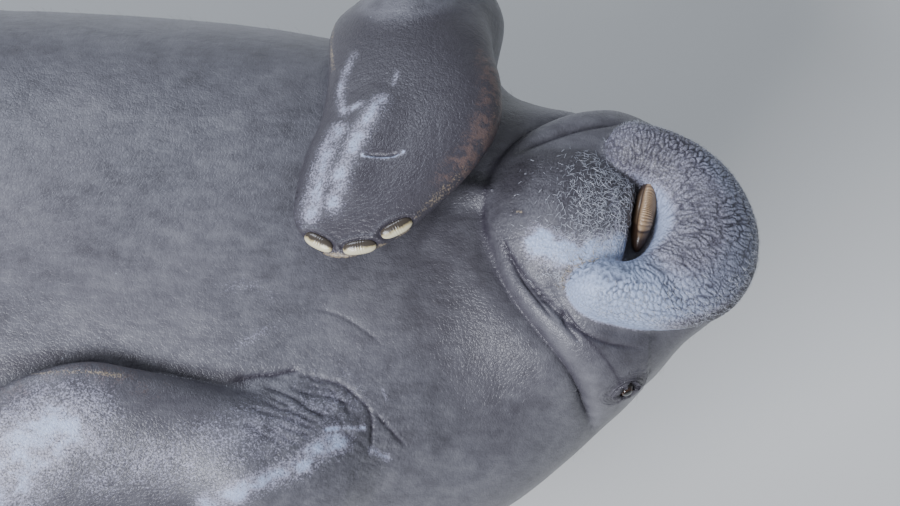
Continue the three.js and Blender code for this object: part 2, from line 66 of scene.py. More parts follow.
def through(stations, x):
    """The value at x of a smooth curve through stations (x, value)."""
    xs, ys = np.array(stations, float).T
    slope = np.empty_like(ys)
    slope[1:-1] = (ys[2:] - ys[:-2]) / (xs[2:] - xs[:-2])
    slope[0] = (ys[1] - ys[0]) / (xs[1] - xs[0])
    slope[-1] = (ys[-1] - ys[-2]) / (xs[-1] - xs[-2])
    x = np.clip(x, xs[0], xs[-1])
    i = np.clip(np.searchsorted(xs, x, side="left") - 1, 0, len(xs) - 2)
    wide = xs[i + 1] - xs[i]
    t = (x - xs[i]) / wide
    rise = t * t * (3 - 2 * t) * (ys[i + 1] - ys[i])
    bend = wide * t * (1 - t) * ((1 - t) * slope[i] - t * slope[i + 1])
    return ys[i] + rise + bend


def smooth_min(a, b, blend):
    h = np.maximum(blend - np.abs(a - b), 0) / blend
    return np.minimum(a, b) - h * h * blend / 4


def smooth_max(a, b, blend):
    return -smooth_min(-a, -b, blend)


def fade(x, start, end):
    t = np.clip((x - start) / (end - start), 0, 1)
    return t * t * (3 - 2 * t)


def mix(a, b, t):
    return a + (b - a) * t


def ellipsoid(p, at, radii):
    q = p - np.array(at, float)
    r = np.array(radii, float)
    k0 = np.sqrt(((q / r) ** 2).sum(-1))
    k1 = np.sqrt(((q / r ** 2) ** 2).sum(-1))
    return k0 * (k0 - 1) / np.maximum(k1, 1e-9)


def from_measure(measure, p):
    """Distance from the surface on which a measure of size is 1."""
    step = 0.5
    m = measure(p)
    slope = [measure(p + step * np.eye(3)[i]) - m for i in range(3)]
    return (m - 1) * step / np.maximum(np.sqrt(sum(s * s for s in slope)), 1e-4)


def only_near(part, low, high, p):
    """A part's distance for the points in its own box, and a large one for the rest."""
    d = np.full(len(p), 400.0)
    near = ((p > low) & (p < high)).all(1)
    if near.any():
        d[near] = part(p[near])
    return d


def tapered_rod(p, start, end, r0, r1):
    start, end = np.array(start, float), np.array(end, float)
    along = end - start
    t = np.clip(((p - start) @ along) / (along @ along), 0, 1)
    return np.linalg.norm(p - start - t[:, None] * along, axis=1) - mix(r0, r1, t)


# The trunk, from the throat to the root of the tail
HALF_WIDTH = [
    (-1000, 60), (-800, 170), (-550, 262), (-250, 350), (150, 393), (550, 390),
    (850, 362), (1000, 330), (1110, 290), (1200, 240), (1330, 130),
]
BELLY = [
    (-1000, -120), (-800, -72), (-550, 8), (-250, 72), (150, 112), (550, 114),
    (850, 98), (1000, 80), (1110, 62), (1200, 44), (1330, 0),
]
BACK = [
    (-1000, -160), (-800, -220), (-550, -305), (-250, -400), (150, -458), (550, -448),
    (850, -396), (1000, -352), (1110, -312), (1200, -268), (1330, -170),
]


def trunk_measure(p):
    x, y, z = p.T
    w, top, bottom = through(HALF_WIDTH, x), through(BELLY, x), through(BACK, x)
    middle = mix(bottom, top, 0.45)
    h = np.where(z > middle, top - middle, middle - bottom)
    section = (np.abs(y / w) ** 2.15 + np.abs((z - middle) / h) ** 2.15) ** (1 / 2.15)
    past = np.maximum(np.maximum(x - 1300, -960 - x), 0) / 70
    return np.hypot(section, past)


def paddle_measure(p):
    x, y, z = p.T
    along = (x + 1095) / 355
    near = np.clip(along, -1, 1)
    w = 305 * (1 - 0.14 * near)
    t = 38 * (1 + 0.42 * near)
    level = -142 - 0.03 * (x + 1095) - 14 * (y / w) ** 2
    outline = (np.abs(along) ** 2.35 + np.abs(y / w) ** 2.35) ** (1 / 2.35)
    return np.hypot(outline, (z - level) / t)


# The head's own frame starts at the middle of the chin, turned and rolled as the animal holds it
HEAD_AT = np.array([1246.0, 37.0, 0.0])
TURN, ROLL, PITCH = math.radians(-13), math.radians(9), math.radians(26)
TO_HEAD = np.array(Matrix.Rotation(ROLL, 3, "X") @ Matrix.Rotation(-TURN, 3, "Z"))


def to_head(p):
    return (p - HEAD_AT) @ TO_HEAD.T


def to_body(h):
    return np.asarray(h, float) @ TO_HEAD + HEAD_AT


def pitched(h, at, radii):
    q = h - np.array(at, float)
    c, s = math.cos(PITCH), math.sin(PITCH)
    turned = np.stack([q[:, 0] * c + q[:, 2] * s, q[:, 1], -q[:, 0] * s + q[:, 2] * c], 1)
    return ellipsoid(turned, (0, 0, 0), radii)


def skull(h):
    d = pitched(h, (-85, 0, -100), (175, 176, 128))
    d = smooth_min(d, pitched(h, (72, 0, -32), (136, 112, 82)), 90)
    sides = np.stack([h[:, 0], np.abs(h[:, 1]), h[:, 2]], 1)
    d = smooth_min(d, ellipsoid(sides, (14, 100, -18), (114, 82, 86)), 40)
    return smooth_min(d, ellipsoid(h, (-45, 0, 14), (112, 125, 78)), 50)


def lip_section(h):
    """Angle round the horseshoe lip, share of the way to its tip, way past it and place across."""
    side, dx = np.abs(h[:, 1]), h[:, 0] - 45
    angle = np.minimum(np.arctan2(side, dx), math.radians(89))
    t = fade(angle / math.radians(89), 0, 1)
    outward = dx * np.cos(angle) + side * np.sin(angle) - mix(107, 90, t)
    beyond = -dx * np.sin(angle) + side * np.cos(angle)
    up = h[:, 2] - mix(58, 74, t)
    tilt = np.radians(mix(28, 8, t))
    u = outward * np.cos(tilt) - up * np.sin(tilt)
    w = outward * np.sin(tilt) + up * np.cos(tilt)
    return angle, t, beyond, u, w


def lip_measure(h):
    angle, t, beyond, u, w = lip_section(h)
    tip = np.where(h[:, 1] > 0, 34, 44)
    return np.sqrt((u / mix(65.5, 34, t)) ** 2 + (w / mix(50, 46, t)) ** 2 + (beyond / tip) ** 2)


def chin(h):
    return smooth_max(ellipsoid(h, (-12, -7, 58), (98, 90, 56)), h[:, 0] - 60, 12)


# The throat's two folds run across it and sweep forward at the sides
def fold_line(h, number):
    x, y = h[:, 0], h[:, 1]
    if number == 0:
        d = y - 10
        return x - (-112 + 0.0032 * d ** 2 + 4e-8 * d ** 4)
    return x - (-107 + 0.0072 * y ** 2)


def folds(h):
    side, z = np.abs(h[:, 1]), h[:, 2]
    depth = 0
    for number, deep, behind, ahead, start in ((0, 14, 36, 8, -1), (1, 7, 15, 5, 48)):
        g = fold_line(h, number)
        reach = fade(z, -150, -30) * fade(side, start, start + 30)
        if number:
            reach = reach * (1 - fade(h[:, 0], 0, 35))
        away = np.sqrt(g ** 2 + 1.2 ** 2) - 1.2
        depth = depth + deep * reach * np.exp(-away / np.where(g < 0, behind, ahead))
    return depth


# The flippers: u runs to the tip, v to the leading edge and w out of the back of the paddle
LEFT_EDGES = (
    [(-70, 76), (0, 90), (60, 106), (120, 124), (170, 134), (230, 124), (290, 96), (340, 58),
     (370, 40)],
    [(-70, -60), (0, -72), (80, -72), (150, -64), (220, -64), (290, -67), (340, -60), (370, -46)],
)
RIGHT_EDGES = (
    [(-70, 80), (0, 96), (60, 114), (120, 137), (180, 149), (230, 138), (290, 104), (340, 62),
     (370, 40)],
    [(-70, -70), (0, -96), (50, -93), (90, -82), (150, -66), (200, -60), (245, -66), (290, -67),
     (340, -60), (370, -46)],
)
THICK = [(-70, 46), (0, 40), (100, 28), (200, 21), (300, 15), (370, 10)]


def limb(shoulder, elbow, wrist, tip, lead, side, arch, cup, edges):
    u = np.subtract(tip, wrist) / np.linalg.norm(np.subtract(tip, wrist))
    v = np.array(lead) - u * (np.array(lead) @ u)
    v /= np.linalg.norm(v)
    return {
        "shoulder": shoulder, "elbow": elbow, "wrist": np.array(wrist, float),
        "axes": np.array([u, v, side * np.cross(u, v)]), "arch": arch, "cup": cup,
        "edges": edges,
    }


LIMBS = {
    "right": limb((1060, 220, -95), (1082, 318, -36), (1056, 312, 12), (981, -3, 128),
                  (1, 0.1, 0.12), 1, 40, 0.0006, RIGHT_EDGES),
    "left": limb((1005, -172, -45), (935, -218, 2), (866, -246, 44), (500, -274, 80),
                 (0.02, 0.9, 0.44), -1, 14, 0.0014, LEFT_EDGES),
}


def on_limb(arm, p):
    return (p - arm["wrist"]) @ arm["axes"].T


def flipper_measure(arm, p):
    u, v, w = on_limb(arm, p).T
    lead, trail = (through(edge, u) for edge in arm["edges"])
    middle, a = (lead + trail) / 2, (lead - trail) / 2
    share = u / 366
    level = 4 * arm["arch"] * share * (1 - share) - arm["cup"] * (v - middle) ** 2
    b = through(THICK, u) * (1 + 0.2 * np.clip((v - middle) / a, -1, 1))
    section = (np.abs((v - middle) / a) ** 2.5 + np.abs((w - level) / b) ** 2.5) ** 0.4
    past = np.maximum(np.maximum((u - 318) / 48, (-40 - u) / 50), 0)
    return np.hypot(section, past)


def free_end(arm, p):
    forearm = tapered_rod(p, arm["elbow"], arm["wrist"], 72, 52)
    return smooth_min(forearm, from_measure(lambda q: flipper_measure(arm, q), p), 40)


# Eyes and nostrils sit where lines drawn through the head leave it
EYE = {"x": 98, "z": -26, "radius": 11.0, "sunk": 6.0}
NOSTRIL = {"y": 24, "z": -8}


def body_without_features(p):
    d = from_measure(trunk_measure, p)
    d = smooth_min(d, only_near(lambda q: from_measure(paddle_measure, q),
                                (-1700, -600, -500), (-400, 600, 300), p), 110)
    forward = p[:, 0] > 850
    h = to_head(p[forward])
    front = smooth_min(d[forward], skull(h), 60) + folds(h)
    front = smooth_min(front, from_measure(lip_measure, h), 10)
    d[forward] = smooth_min(front, chin(h), 9)
    for sign, arm in ((1, LIMBS["right"]), (-1, LIMBS["left"])):
        own_side = p[:, 1] * sign > -70
        upper = only_near(lambda q: tapered_rod(q, arm["shoulder"], arm["elbow"], 88, 72),
                          (750, -500, -300), (1300, 500, 250), p)
        d = np.where(own_side, smooth_min(d, upper, 45), d)
        end = only_near(lambda q: free_end(arm, q), (350, -520, -250), (1300, 520, 330), p)
        from_root = np.linalg.norm(p - arm["elbow"], axis=1)
        d = smooth_min(d, end, mix(40, 3, fade(from_root, 60, 150)))
    return d


def leave_point(field, start, direction):
    """Where a line from inside leaves the field, with the outward direction there."""
    start, direction = np.array(start, float), np.array(direction, float)
    near, far = 0.0, 300.0
    for _ in range(30):
        half = (near + far) / 2
        if field((start + direction * half)[None])[0] < 0:
            near = half
        else:
            far = half
    at = start + direction * near
    slope = np.array([field((at + np.eye(3)[i])[None])[0] for i in range(3)]) - field(at[None])[0]
    return at, slope / np.linalg.norm(slope)


def head_way(x, y, z):
    return to_body((x, y, z)) - to_body((0, 0, 0))


eyes, nostrils = {}, []
for name, sign in (("right", 1), ("left", -1)):
    start = to_body((EYE["x"], 0, EYE["z"]))
    eyes[name] = leave_point(body_without_features, start, head_way(0, sign, 0))
    start = to_body((120, sign * NOSTRIL["y"], NOSTRIL["z"]))
    nostrils.append(leave_point(body_without_features, start, head_way(1, 0, 0)))


def skin_field(p):
    d = body_without_features(p)
    for at, out in eyes.values():
        near = np.linalg.norm(p - at, axis=1) < 60
        if not near.any():
            continue
        q = p[near] - at
        height = q @ out
        flat = np.linalg.norm(q - height[:, None] * out, axis=1)
        lid = np.hypot(flat - 13, height + 1) - 5
        ball = np.linalg.norm(q + EYE["sunk"] * out, axis=1) - EYE["radius"] - 0.2
        d[near] = smooth_max(smooth_min(d[near], lid, 8), -ball, 1.5)
    for at, out in nostrils:
        near = np.linalg.norm(p - at, axis=1) < 60
        if near.any():
            hole = ellipsoid(to_head(p[near]), to_head(at[None])[0] - (2, 0, 0), (9, 12, 6))
            d[near] = smooth_max(d[near], -hole, 5)
    return d


def slope_of(field, p, d, step=0.4):
    return np.stack([(field(p + step * np.eye(3)[i]) - d) / step for i in range(3)], 1)


def settle(field, p, furthest, rounds=3):
    """Points moved onto the field's surface by short steps down its slope."""
    for _ in range(rounds):
        d = field(p)
        slope = slope_of(field, p, d)
        size = np.maximum((slope ** 2).sum(1), 0.05)
        p = p - slope * np.clip(d / size, -furthest, furthest)[:, None]
    return p


CORNERS = np.array([(n & 1, n >> 1 & 1, n >> 2 & 1) for n in range(8)])
EDGES = [(a, a | bit) for a in range(8) for bit in (1, 2, 4) if not a & bit]
SIDES = [(0, 2, 6, 4), (1, 5, 7, 3), (0, 4, 5, 1), (2, 3, 7, 6), (0, 1, 3, 2), (4, 6, 7, 5)]


def sheets(code):
    """For one pattern of inside corners, the sheet of surface that each cell edge belongs to."""
    inside = [code >> n & 1 for n in range(8)]
    sheet = {}
    for side in SIDES:
        for i in range(4):
            if not inside[side[i]] or inside[side[i - 1]]:
                continue
            j = i
            while inside[side[(j + 1) % 4]]:
                j += 1
            ends = [tuple(sorted((side[i - 1], side[i]))),
                    tuple(sorted((side[j % 4], side[(j + 1) % 4])))]
            joined = set(ends)
            for end in ends:
                joined |= sheet.get(end, set())
            for edge in joined:
                sheet[edge] = joined
    groups = []
    for joined in sheet.values():
        if joined not in groups:
            groups.append(joined)
    return [next((n for n, g in enumerate(groups) if edge in g), -1) for edge in EDGES], len(groups)


def surface_of(field, low, high, cell):
    """The field's zero surface as points and triangles, from a grid filled in only near it."""
    coarse = 4
    size = np.ceil((np.subtract(high, low)) / (cell * coarse)).astype(int) * coarse
    grid = [low[n] + cell * np.arange(size[n] + 1) for n in range(3)]
    rough_grid = [g[::coarse] for g in grid]
    rough = np.stack(np.meshgrid(*rough_grid, indexing="ij"), -1).reshape(-1, 3)
    value = field(rough).reshape([len(g) for g in rough_grid])
    for n in range(3):
        value = np.repeat(value, coarse, n).take(range(size[n] + 1), n)
    middle = np.stack(np.meshgrid(*grid, indexing="ij"), -1)
    near = np.abs(value) < cell * coarse * 2.2
    value[near] = field(middle[near])
    inside = value < 0
    code = np.zeros(size, int)
    for n, (i, j, k) in enumerate(CORNERS):
        code |= inside[i:i + size[0], j:j + size[1], k:k + size[2]].astype(int) << n
    table = [sheets(c) for c in range(256)]
    group = np.array([t[0] for t in table])
    number = np.array([t[1] for t in table])
    cells = np.argwhere(number[code] > 0)
    cell_code = code[tuple(cells.T)]
    first = np.full(size, -1)
    first[tuple(cells.T)] = np.concatenate([[0], np.cumsum(number[cell_code])[:-1]])
    count = number[cell_code].sum()
    total, share = np.zeros((count, 3)), np.zeros(count)
    for e, (a, b) in enumerate(EDGES):
        here = group[cell_code, e]
        crossed = here >= 0
        c = cells[crossed]
        va = value[tuple((c + CORNERS[a]).T)]
        vb = value[tuple((c + CORNERS[b]).T)]
        t = (va / (va - vb))[:, None]
        spot = c + CORNERS[a] + t * (CORNERS[b] - CORNERS[a])
        vertex = first[tuple(c.T)] + here[crossed]
        np.add.at(total, vertex, spot)
        np.add.at(share, vertex, 1)
    points = np.array(low) + cell * total / share[:, None]
    faces = []
    edge_number = {edge: n for n, edge in enumerate(EDGES)}
    for n in range(3):
        m1, m2 = (n + 1) % 3, (n + 2) % 3
        start = inside[1:-1, 1:-1, 1:-1]
        after = inside[tuple(slice(1 + (m == n), size[m] + (m == n)) for m in range(3))]
        change = np.argwhere(start != after) + 1
        leaving = start[tuple((change - 1).T)]
        ring = []
        for back1, back2 in ((1, 1), (0, 1), (0, 0), (1, 0)):
            q = change.copy()
            q[:, m1] -= back1
            q[:, m2] -= back2
            corner = back1 << m1 | back2 << m2
            e = edge_number[(corner, corner | 1 << n)]
            ring.append(first[tuple(q.T)] + group[code[tuple(q.T)], e])
        ring = np.stack(ring, 1)
        ring[~leaving] = ring[~leaving][:, ::-1]
        faces += [ring[:, [0, 1, 2]], ring[:, [0, 2, 3]]]
    faces = np.concatenate(faces)
    points = settle(field, points, cell / 2, 5)
    for _ in range(5):
        points = settle(field, evened(field, points, faces), cell / 2, 1)
    return settle(field, points, cell / 2, 2), faces


def edges_of(triangles):
    return np.concatenate([triangles[:, [n, (n + 1) % 3]] for n in range(3)])


def evened(field, points, faces):
    """Points slid along the surface, halfway to the middle of their neighbours."""
    ends = edges_of(faces)
    total, share = np.zeros_like(points), np.zeros(len(points))
    np.add.at(total, ends[:, 0], points[ends[:, 1]])
    np.add.at(share, ends[:, 0], 1)
    move = (total / share[:, None] - points) / 2
    out = slope_of(field, points, field(points))
    out /= np.maximum(np.linalg.norm(out, axis=1), 1e-6)[:, None]
    return points + move - (move * out).sum(1)[:, None] * out


def split_long_edges(field, points, triangles, target):
    """Triangles halved along every edge that is longer than wanted where it lies."""
    unique, back = np.unique(np.sort(edges_of(triangles), 1), axis=0, return_inverse=True)
    back = back.reshape(3, -1).T
    ends = points[unique]
    middle = ends.mean(1)
    split = np.linalg.norm(ends[:, 0] - ends[:, 1], axis=1) > 1.35 * target(middle)
    if not split.any():
        return points, triangles, False
    number = np.full(len(unique), -1)
    number[split] = len(points) + np.arange(split.sum())
    points = np.concatenate([points, settle(field, middle[split], 3.0, 2)])
    mid = number[back]
    cut = (mid >= 0).sum(1)
    done = [triangles[cut == 0]]
    for rotation in range(3):
        a, b, c = (triangles[:, (rotation + i) % 3] for i in range(3))
        ab, bc, ca = (mid[:, (rotation + i) % 3] for i in range(3))
        one = (cut == 1) & (ab >= 0)
        done.append(np.stack([a, ab, c], 1)[one])
        done.append(np.stack([ab, b, c], 1)[one])
        two = (cut == 2) & (ca < 0)
        done.append(np.stack([ab, b, bc], 1)[two])
        done.append(np.stack([a, ab, bc], 1)[two])
        done.append(np.stack([a, bc, c], 1)[two])
    a, b, c = triangles[cut == 3].T
    ab, bc, ca = mid[cut == 3].T
    done += [np.stack(t, 1) for t in ((a, ab, ca), (ab, b, bc), (ca, bc, c), (ab, bc, ca))]
    return points, np.concatenate(done), True


def seen_on_skin(pixels):
    """The places of the skin that show at given pixels of the photograph."""
    pixels = np.array(pixels, float)
    scale = FRAME_WIDTH / PHOTO_SIZE[0] / CAMERA_DISTANCE
    forward = -np.array(toward_camera)
    across = np.array((1.0, 0.0, 0.0))
    up = np.cross(across, forward)
    way = (forward + (pixels[:, :1] - PHOTO_SIZE[0] / 2) * scale * across
           - (pixels[:, 1:] - PHOTO_SIZE[1] / 2) * scale * up)
    way /= np.linalg.norm(way, axis=1)[:, None]
    p = np.array(camera.location) * 1000 - (0, 0, LEVEL) + way * 1300
    for _ in range(60):
        p = p + way * np.clip(body_without_features(p), -10, 60)[:, None] * 0.9
    return p


def drawn_on_skin(pixels):
    """A smooth line on the skin through places that show at pixels of the photograph."""
    pixels = np.array(pixels, float)
    knots = np.arange(len(pixels))
    fine = np.linspace(0, knots[-1], 8 * len(pixels))
    smooth = [through(list(zip(knots, pixels[:, i])), fine) for i in (0, 1)]
    return seen_on_skin(np.stack(smooth, 1))


def near_line(p, spots, furthest):
    """Distance from a line in millimetres, and the share of the line's length passed there."""
    away, share = np.full(len(p), float(furthest)), np.zeros(len(p))
    low, high = spots.min(0) - furthest, spots.max(0) + furthest
    close = np.flatnonzero(((p > low) & (p < high)).all(1))
    q = p[close]
    best, passed = away[close], share[close]
    for n, (start, end) in enumerate(zip(spots[:-1], spots[1:])):
        step = end - start
        t = np.clip(((q - start) @ step) / max(step @ step, 1e-9), 0, 1)
        reach = np.linalg.norm(q - start - t[:, None] * step, axis=1)
        nearer = reach < best
        best[nearer] = reach[nearer]
        passed[nearer] = (n + t[nearer]) / (len(spots) - 1)
    away[close], share[close] = best, passed
    return away, share


CREASES = [(drawn_on_skin(pixels), deep, wide) for pixels, deep, wide in [
    # pixels of the photograph that the crease runs through, its depth and half width
    ([(306, 307), (338, 315), (364, 330), (386, 349)], 1.5, 1.8),
    ([(365, 156), (378, 156), (390, 155), (401, 152)], 3.2, 1.7),
    ([(226, 384), (243, 379), (259, 376), (275, 375), (290, 371), (306, 371)], 4.5, 3.0),
    ([(296, 371), (319, 378), (342, 385), (356, 396), (368, 408), (372, 420), (372, 442),
      (368, 456)], 3.0, 2.0),
    ([(373, 410), (384, 423), (395, 435), (410, 451)], 2.6, 1.8),
    ([(560, 298), (570, 320), (586, 334), (612, 345), (650, 349)], 3.0, 2.6),
    ([(559, 306), (567, 326), (582, 345)], 2.2, 2.2),
    ([(497, 226), (510, 258), (524, 281), (541, 303), (558, 325)], 2.6, 2.0),
    ([(526, 280), (543, 287), (560, 283)], 1.3, 1.6),
    ([(529, 287), (546, 292), (562, 288)], 1.3, 1.6),
    ([(533, 293), (549, 297), (563, 293)], 1.3, 1.6),
    ([(537, 299), (552, 302), (563, 298)], 1.2, 1.6),
    ([(286, 383), (298, 390), (307, 393), (320, 394), (340, 400), (350, 404), (363, 407)],
     2.2, 1.6),
    ([(304, 385), (317, 387), (331, 390), (341, 398)], 1.8, 1.5),
    ([(296, 375), (309, 377), (315, 380), (331, 384)], 1.8, 1.5),
    ([(259, 385), (272, 388), (287, 394), (298, 400), (309, 408), (320, 413), (334, 417)],
     2.4, 1.7),
    ([(257, 397), (272, 404), (281, 409), (291, 411), (302, 416), (312, 420), (325, 424)],
     2.2, 1.7),
    ([(269, 396), (284, 403), (297, 411)], 1.5, 1.4),
    ([(245, 404), (256, 409), (271, 414), (285, 417), (298, 421), (312, 428), (329, 434)],
     2.0, 1.6),
    ([(279, 420), (286, 428), (301, 432), (313, 437)], 1.5, 1.5),
    ([(309, 409), (322, 415), (336, 417), (344, 421)], 1.6, 1.4),
    ([(340, 396), (345, 404), (349, 413), (352, 420)], 1.6, 1.4),
    ([(346, 409), (355, 415), (364, 421)], 1.4, 1.4),
    ([(344, 432), (355, 439), (369, 448)], 1.5, 1.6),
    ([(262, 424), (276, 433), (292, 441), (308, 446)], 1.3, 1.4),
    ([(240, 420), (256, 430), (274, 440), (290, 448)], 1.3, 1.4),
]]


RIDGE = drawn_on_skin([(392, 80), (374, 112), (356, 146), (344, 178), (336, 208)])

# Where the hide is marked: pixels of the photograph a mark runs through, its half width in
# millimetres and its strength. The pale marks are painted sheen, but for the scratch's edges, and
# the dark ones are the scratch, a spot, and painted shadow and shade
MARKS = {
    "pale": [
        # painted sheen along the right flipper's trailing side
        ([(353, 56), (346, 72), (341, 92), (344, 112), (360, 106)], 9, 0.72),
        ([(380, 104), (360, 138), (344, 172), (334, 204)], 19, 0.76),
        ([(338, 132), (326, 158), (317, 186), (310, 214)], 20, 0.76),
        ([(397, 72), (393, 86)], 5, 0.6),
        # the scratch's own pale edges
        ([(364, 157), (377, 157), (390, 156), (403, 152)], 4.2, 1.2),
        # painted sheen on the chin, the left flipper, its wrinkled root and the chest
        ([(538, 243), (556, 250), (586, 254), (618, 247)], 25, 1.2),
        ([(612, 190), (618, 222), (614, 247)], 14, 0.5),
        ([(0, 480), (22, 450), (50, 430), (66, 428)], 74, 0.8),
        ([(205, 506), (255, 486), (295, 468), (318, 452), (342, 440)], 22, 0.85),
        ([(326, 429), (345, 428), (364, 428)], 5, 0.9),
        ([(371, 450), (380, 454), (388, 458)], 7, 0.8),
        ([(381, 388), (387, 399)], 3.5, 0.6),
        ([(100, 470), (200, 455), (250, 435), (290, 420), (330, 405)], 60, 0.5),
        ([(226, 290), (246, 284), (270, 292)], 16, 0.35),
        ([(230, 352), (262, 332), (290, 322)], 9, 0.4),
    ],
    "dark": [
        # painted shadow along the left flipper's raised upper edge
        ([(0, 368), (50, 359), (100, 358), (150, 366), (200, 376), (238, 380)], 12, 0.9),
        ([(365, 156), (377, 156), (390, 155), (400, 152)], 1.6, 1.0),
        ([(515, 211), (522, 213)], 5, 0.8),
        # painted shade by the eye and, broadly, over the neck
        ([(600, 345), (640, 368), (668, 374)], 34, 0.35),
        ([(446, 240), (468, 320), (505, 410)], 66, 0.5),
    ],
    "tan": [
        ([(0, 380), (40, 373), (90, 372), (124, 376)], 3.5, 0.5),
        ([(436, 198), (450, 186), (464, 172)], 8, 0.42),
        ([(404, 226), (420, 212), (436, 198)], 5, 0.36),
        ([(496, 100), (494, 120), (484, 142)], 6, 0.22),
        ([(297, 234), (301, 246), (318, 253), (342, 256), (366, 250)], 5, 0.9),
        ([(366, 251), (388, 243), (408, 231)], 4, 0.7),
        ([(334, 24), (331, 48), (333, 70)], 4, 0.5),
        ([(517, 211), (521, 212)], 1.6, 0.9),
    ],
}
MARKS = {kind: [(drawn_on_skin(pixels), wide, strong) for pixels, wide, strong in marks]
         for kind, marks in MARKS.items()}


# Each nail: its place along and across the flipper, and its turn to follow the rim
NAILS = [(354, -27, math.radians(-23)), (356, 22, math.radians(16)), (332, 61, math.radians(38))]
NAIL_SIZE = np.array([8.0, 19.0, 4.5])


def nail_seat(arm, u, v, turn):
    """The middle of a nail, and its length, width and thickness directions as rows."""
    start = arm["wrist"] + np.array([u, v, 0.0]) @ arm["axes"]
    at, out = leave_point(lambda q: free_end(arm, q), start, arm["axes"][2])
    tilt = Vector((0, 0, 1)).rotation_difference(Vector(arm["axes"] @ out)).to_matrix()
    own = np.array(tilt @ Matrix.Rotation(turn, 3, "Z"))
    return at, own.T @ arm["axes"]


NAIL_SEATS = {
    f"nail_{name}_{n + 1}": nail_seat(arm, *nail)
    for name, arm in LIMBS.items() for n, nail in enumerate(NAILS)
}


def wanted_edge(p):
    """How long the mesh's edges may be, in millimetres, by what lies there."""
    want = np.where(p[:, 0] > 300, 14.0, 20.0)
    h = to_head(p)
    forward = p[:, 0] > 1000
    want[forward & (h[:, 0] > -130)] = 6
    belly_side = forward & (h[:, 2] > -70)
    for number in (0, 1):
        away = np.abs(fold_line(h, number))[belly_side]
        want[belly_side] = np.minimum(want[belly_side], 2.0 + 0.4 * np.maximum(away - 9, 0))
    want[belly_side & (h[:, 0] > -90) & (np.abs(h[:, 1]) < 150) & (h[:, 2] > 10)] = 3
    near_mouth = np.minimum(from_measure(lip_measure, h), chin(h)) < 4
    want[forward & near_mouth & (h[:, 2] > -30)] = 1.5
    for arm in LIMBS.values():
        u, v, w = on_limb(arm, p).T
        want[(u > -120) & (u < 380) & (np.abs(v) < 160) & (np.abs(w) < 130)] = 6
        rim = np.minimum(*(np.abs(v - through(edge, u)) for edge in arm["edges"])) < 14
        want[(u > 0) & (u < 380) & (rim | (u > 300)) & (np.abs(w) < 60)] = 3
    for line, deep, wide in CREASES:
        want = np.minimum(want, 1.8 + 0.5 * np.maximum(near_line(p, line, 30)[0] - 5, 0))
    want[arm_pit(p) > 0.1] = 2.6
    for at, out in list(eyes.values()) + nostrils:
        away = np.linalg.norm(p - at, axis=1)
        want[away < 34] = 2.2
        want[away < 22] = 1.3
    for at, _ in NAIL_SEATS.values():
        want[np.linalg.norm(p - at, axis=1) < 36] = 1.6
    return want


def arm_pit(p):
    """How much a place belongs to the wrinkled root of the left arm."""
    q = (p - (985, -205, 90)) / (118, 86, 110)
    return np.clip(1.4 - np.linalg.norm(q, axis=1), 0, 1)


CELL = 12.0
SKIN_ROOM = ((-1520, -470, -560), (1530, 470, 240))
skin_points, skin_triangles = surface_of(skin_field, *SKIN_ROOM, CELL)
for _ in range(6):
    skin_points, skin_triangles, more = split_long_edges(
        skin_field, skin_points, skin_triangles, wanted_edge)
    if not more:
        break


def scattered(cells, seed):
    """Three even random numbers from 0 to 1 for each whole-number cell."""
    k = cells[..., 0] * 374761393 + cells[..., 1] * 668265263 + cells[..., 2] * 1442695041
    k = k + seed * 1274126177
    numbers = []
    for _ in range(3):
        k = (k & 0xffffffff) * 2246822519 & 0xffffffff
        k = (k ^ k >> 15) * 3266489917 & 0xffffffff
        k = k ^ k >> 13
        numbers.append(k / 2 ** 32)
    return np.stack(numbers, -1)


def soft_noise(p, size, seed):
    """Smooth noise from -1 to 1 whose swells have a size in millimetres."""
    q = p / size
    base = np.floor(q)
    t = q - base
    t = t * t * (3 - 2 * t)
    total = 0
    for corner in CORNERS:
        weight = np.where(corner, t, 1 - t).prod(1)
        total = total + weight * scattered((base + corner).astype(np.int64), seed)[:, 0]
    return total * 2 - 1


SCATTER = 0.8  # how far a cell's middle strays from even spacing


def cell_border(a, b, seed):
    """How far a place lies from the border between cells round scattered points, in cells."""
    here = np.floor(np.stack([a, b, np.full(len(a), seed)], 1)).astype(np.int64)
    reach = []
    for i in (-1, 0, 1):
        for j in (-1, 0, 1):
            cell = here + (i, j, 0)
            spot = cell[:, :2] + 0.5 + SCATTER * (scattered(cell, seed)[:, :2] - 0.5)
            reach.append(np.hypot(a - spot[:, 0], b - spot[:, 1]))
    reach = np.sort(reach, 0)
    return reach[1] - reach[0]


def normals_of(points, faces):
    a, b, c = (points[faces[:, i]] for i in range(3))
    flat = np.cross(b - a, c - a)
    total = np.zeros_like(points)
    for i in range(3):
        np.add.at(total, faces[:, i], flat)
    return total / np.maximum(np.linalg.norm(total, axis=1), 1e-9)[:, None]


# Grooves of the lip: cells drawn out across the band beside the mouth, and round near its rim.
# How far a cell reaches across is given by its turn round the lip's section from the mouth.
LIP_CELL, LIP_SEED = 4.3, 5
LIP_TURN = [0, 0.5, 1.0, 1.5, 2.0, 2.6, math.pi]
CELL_REACH = np.array([20, 27, 25, 18, 11.5, 8, 6.5])
steps = np.diff(LIP_TURN) * 50 / ((CELL_REACH[1:] + CELL_REACH[:-1]) / 2)
CELLS_ACROSS = np.concatenate([[0], np.cumsum(steps)])


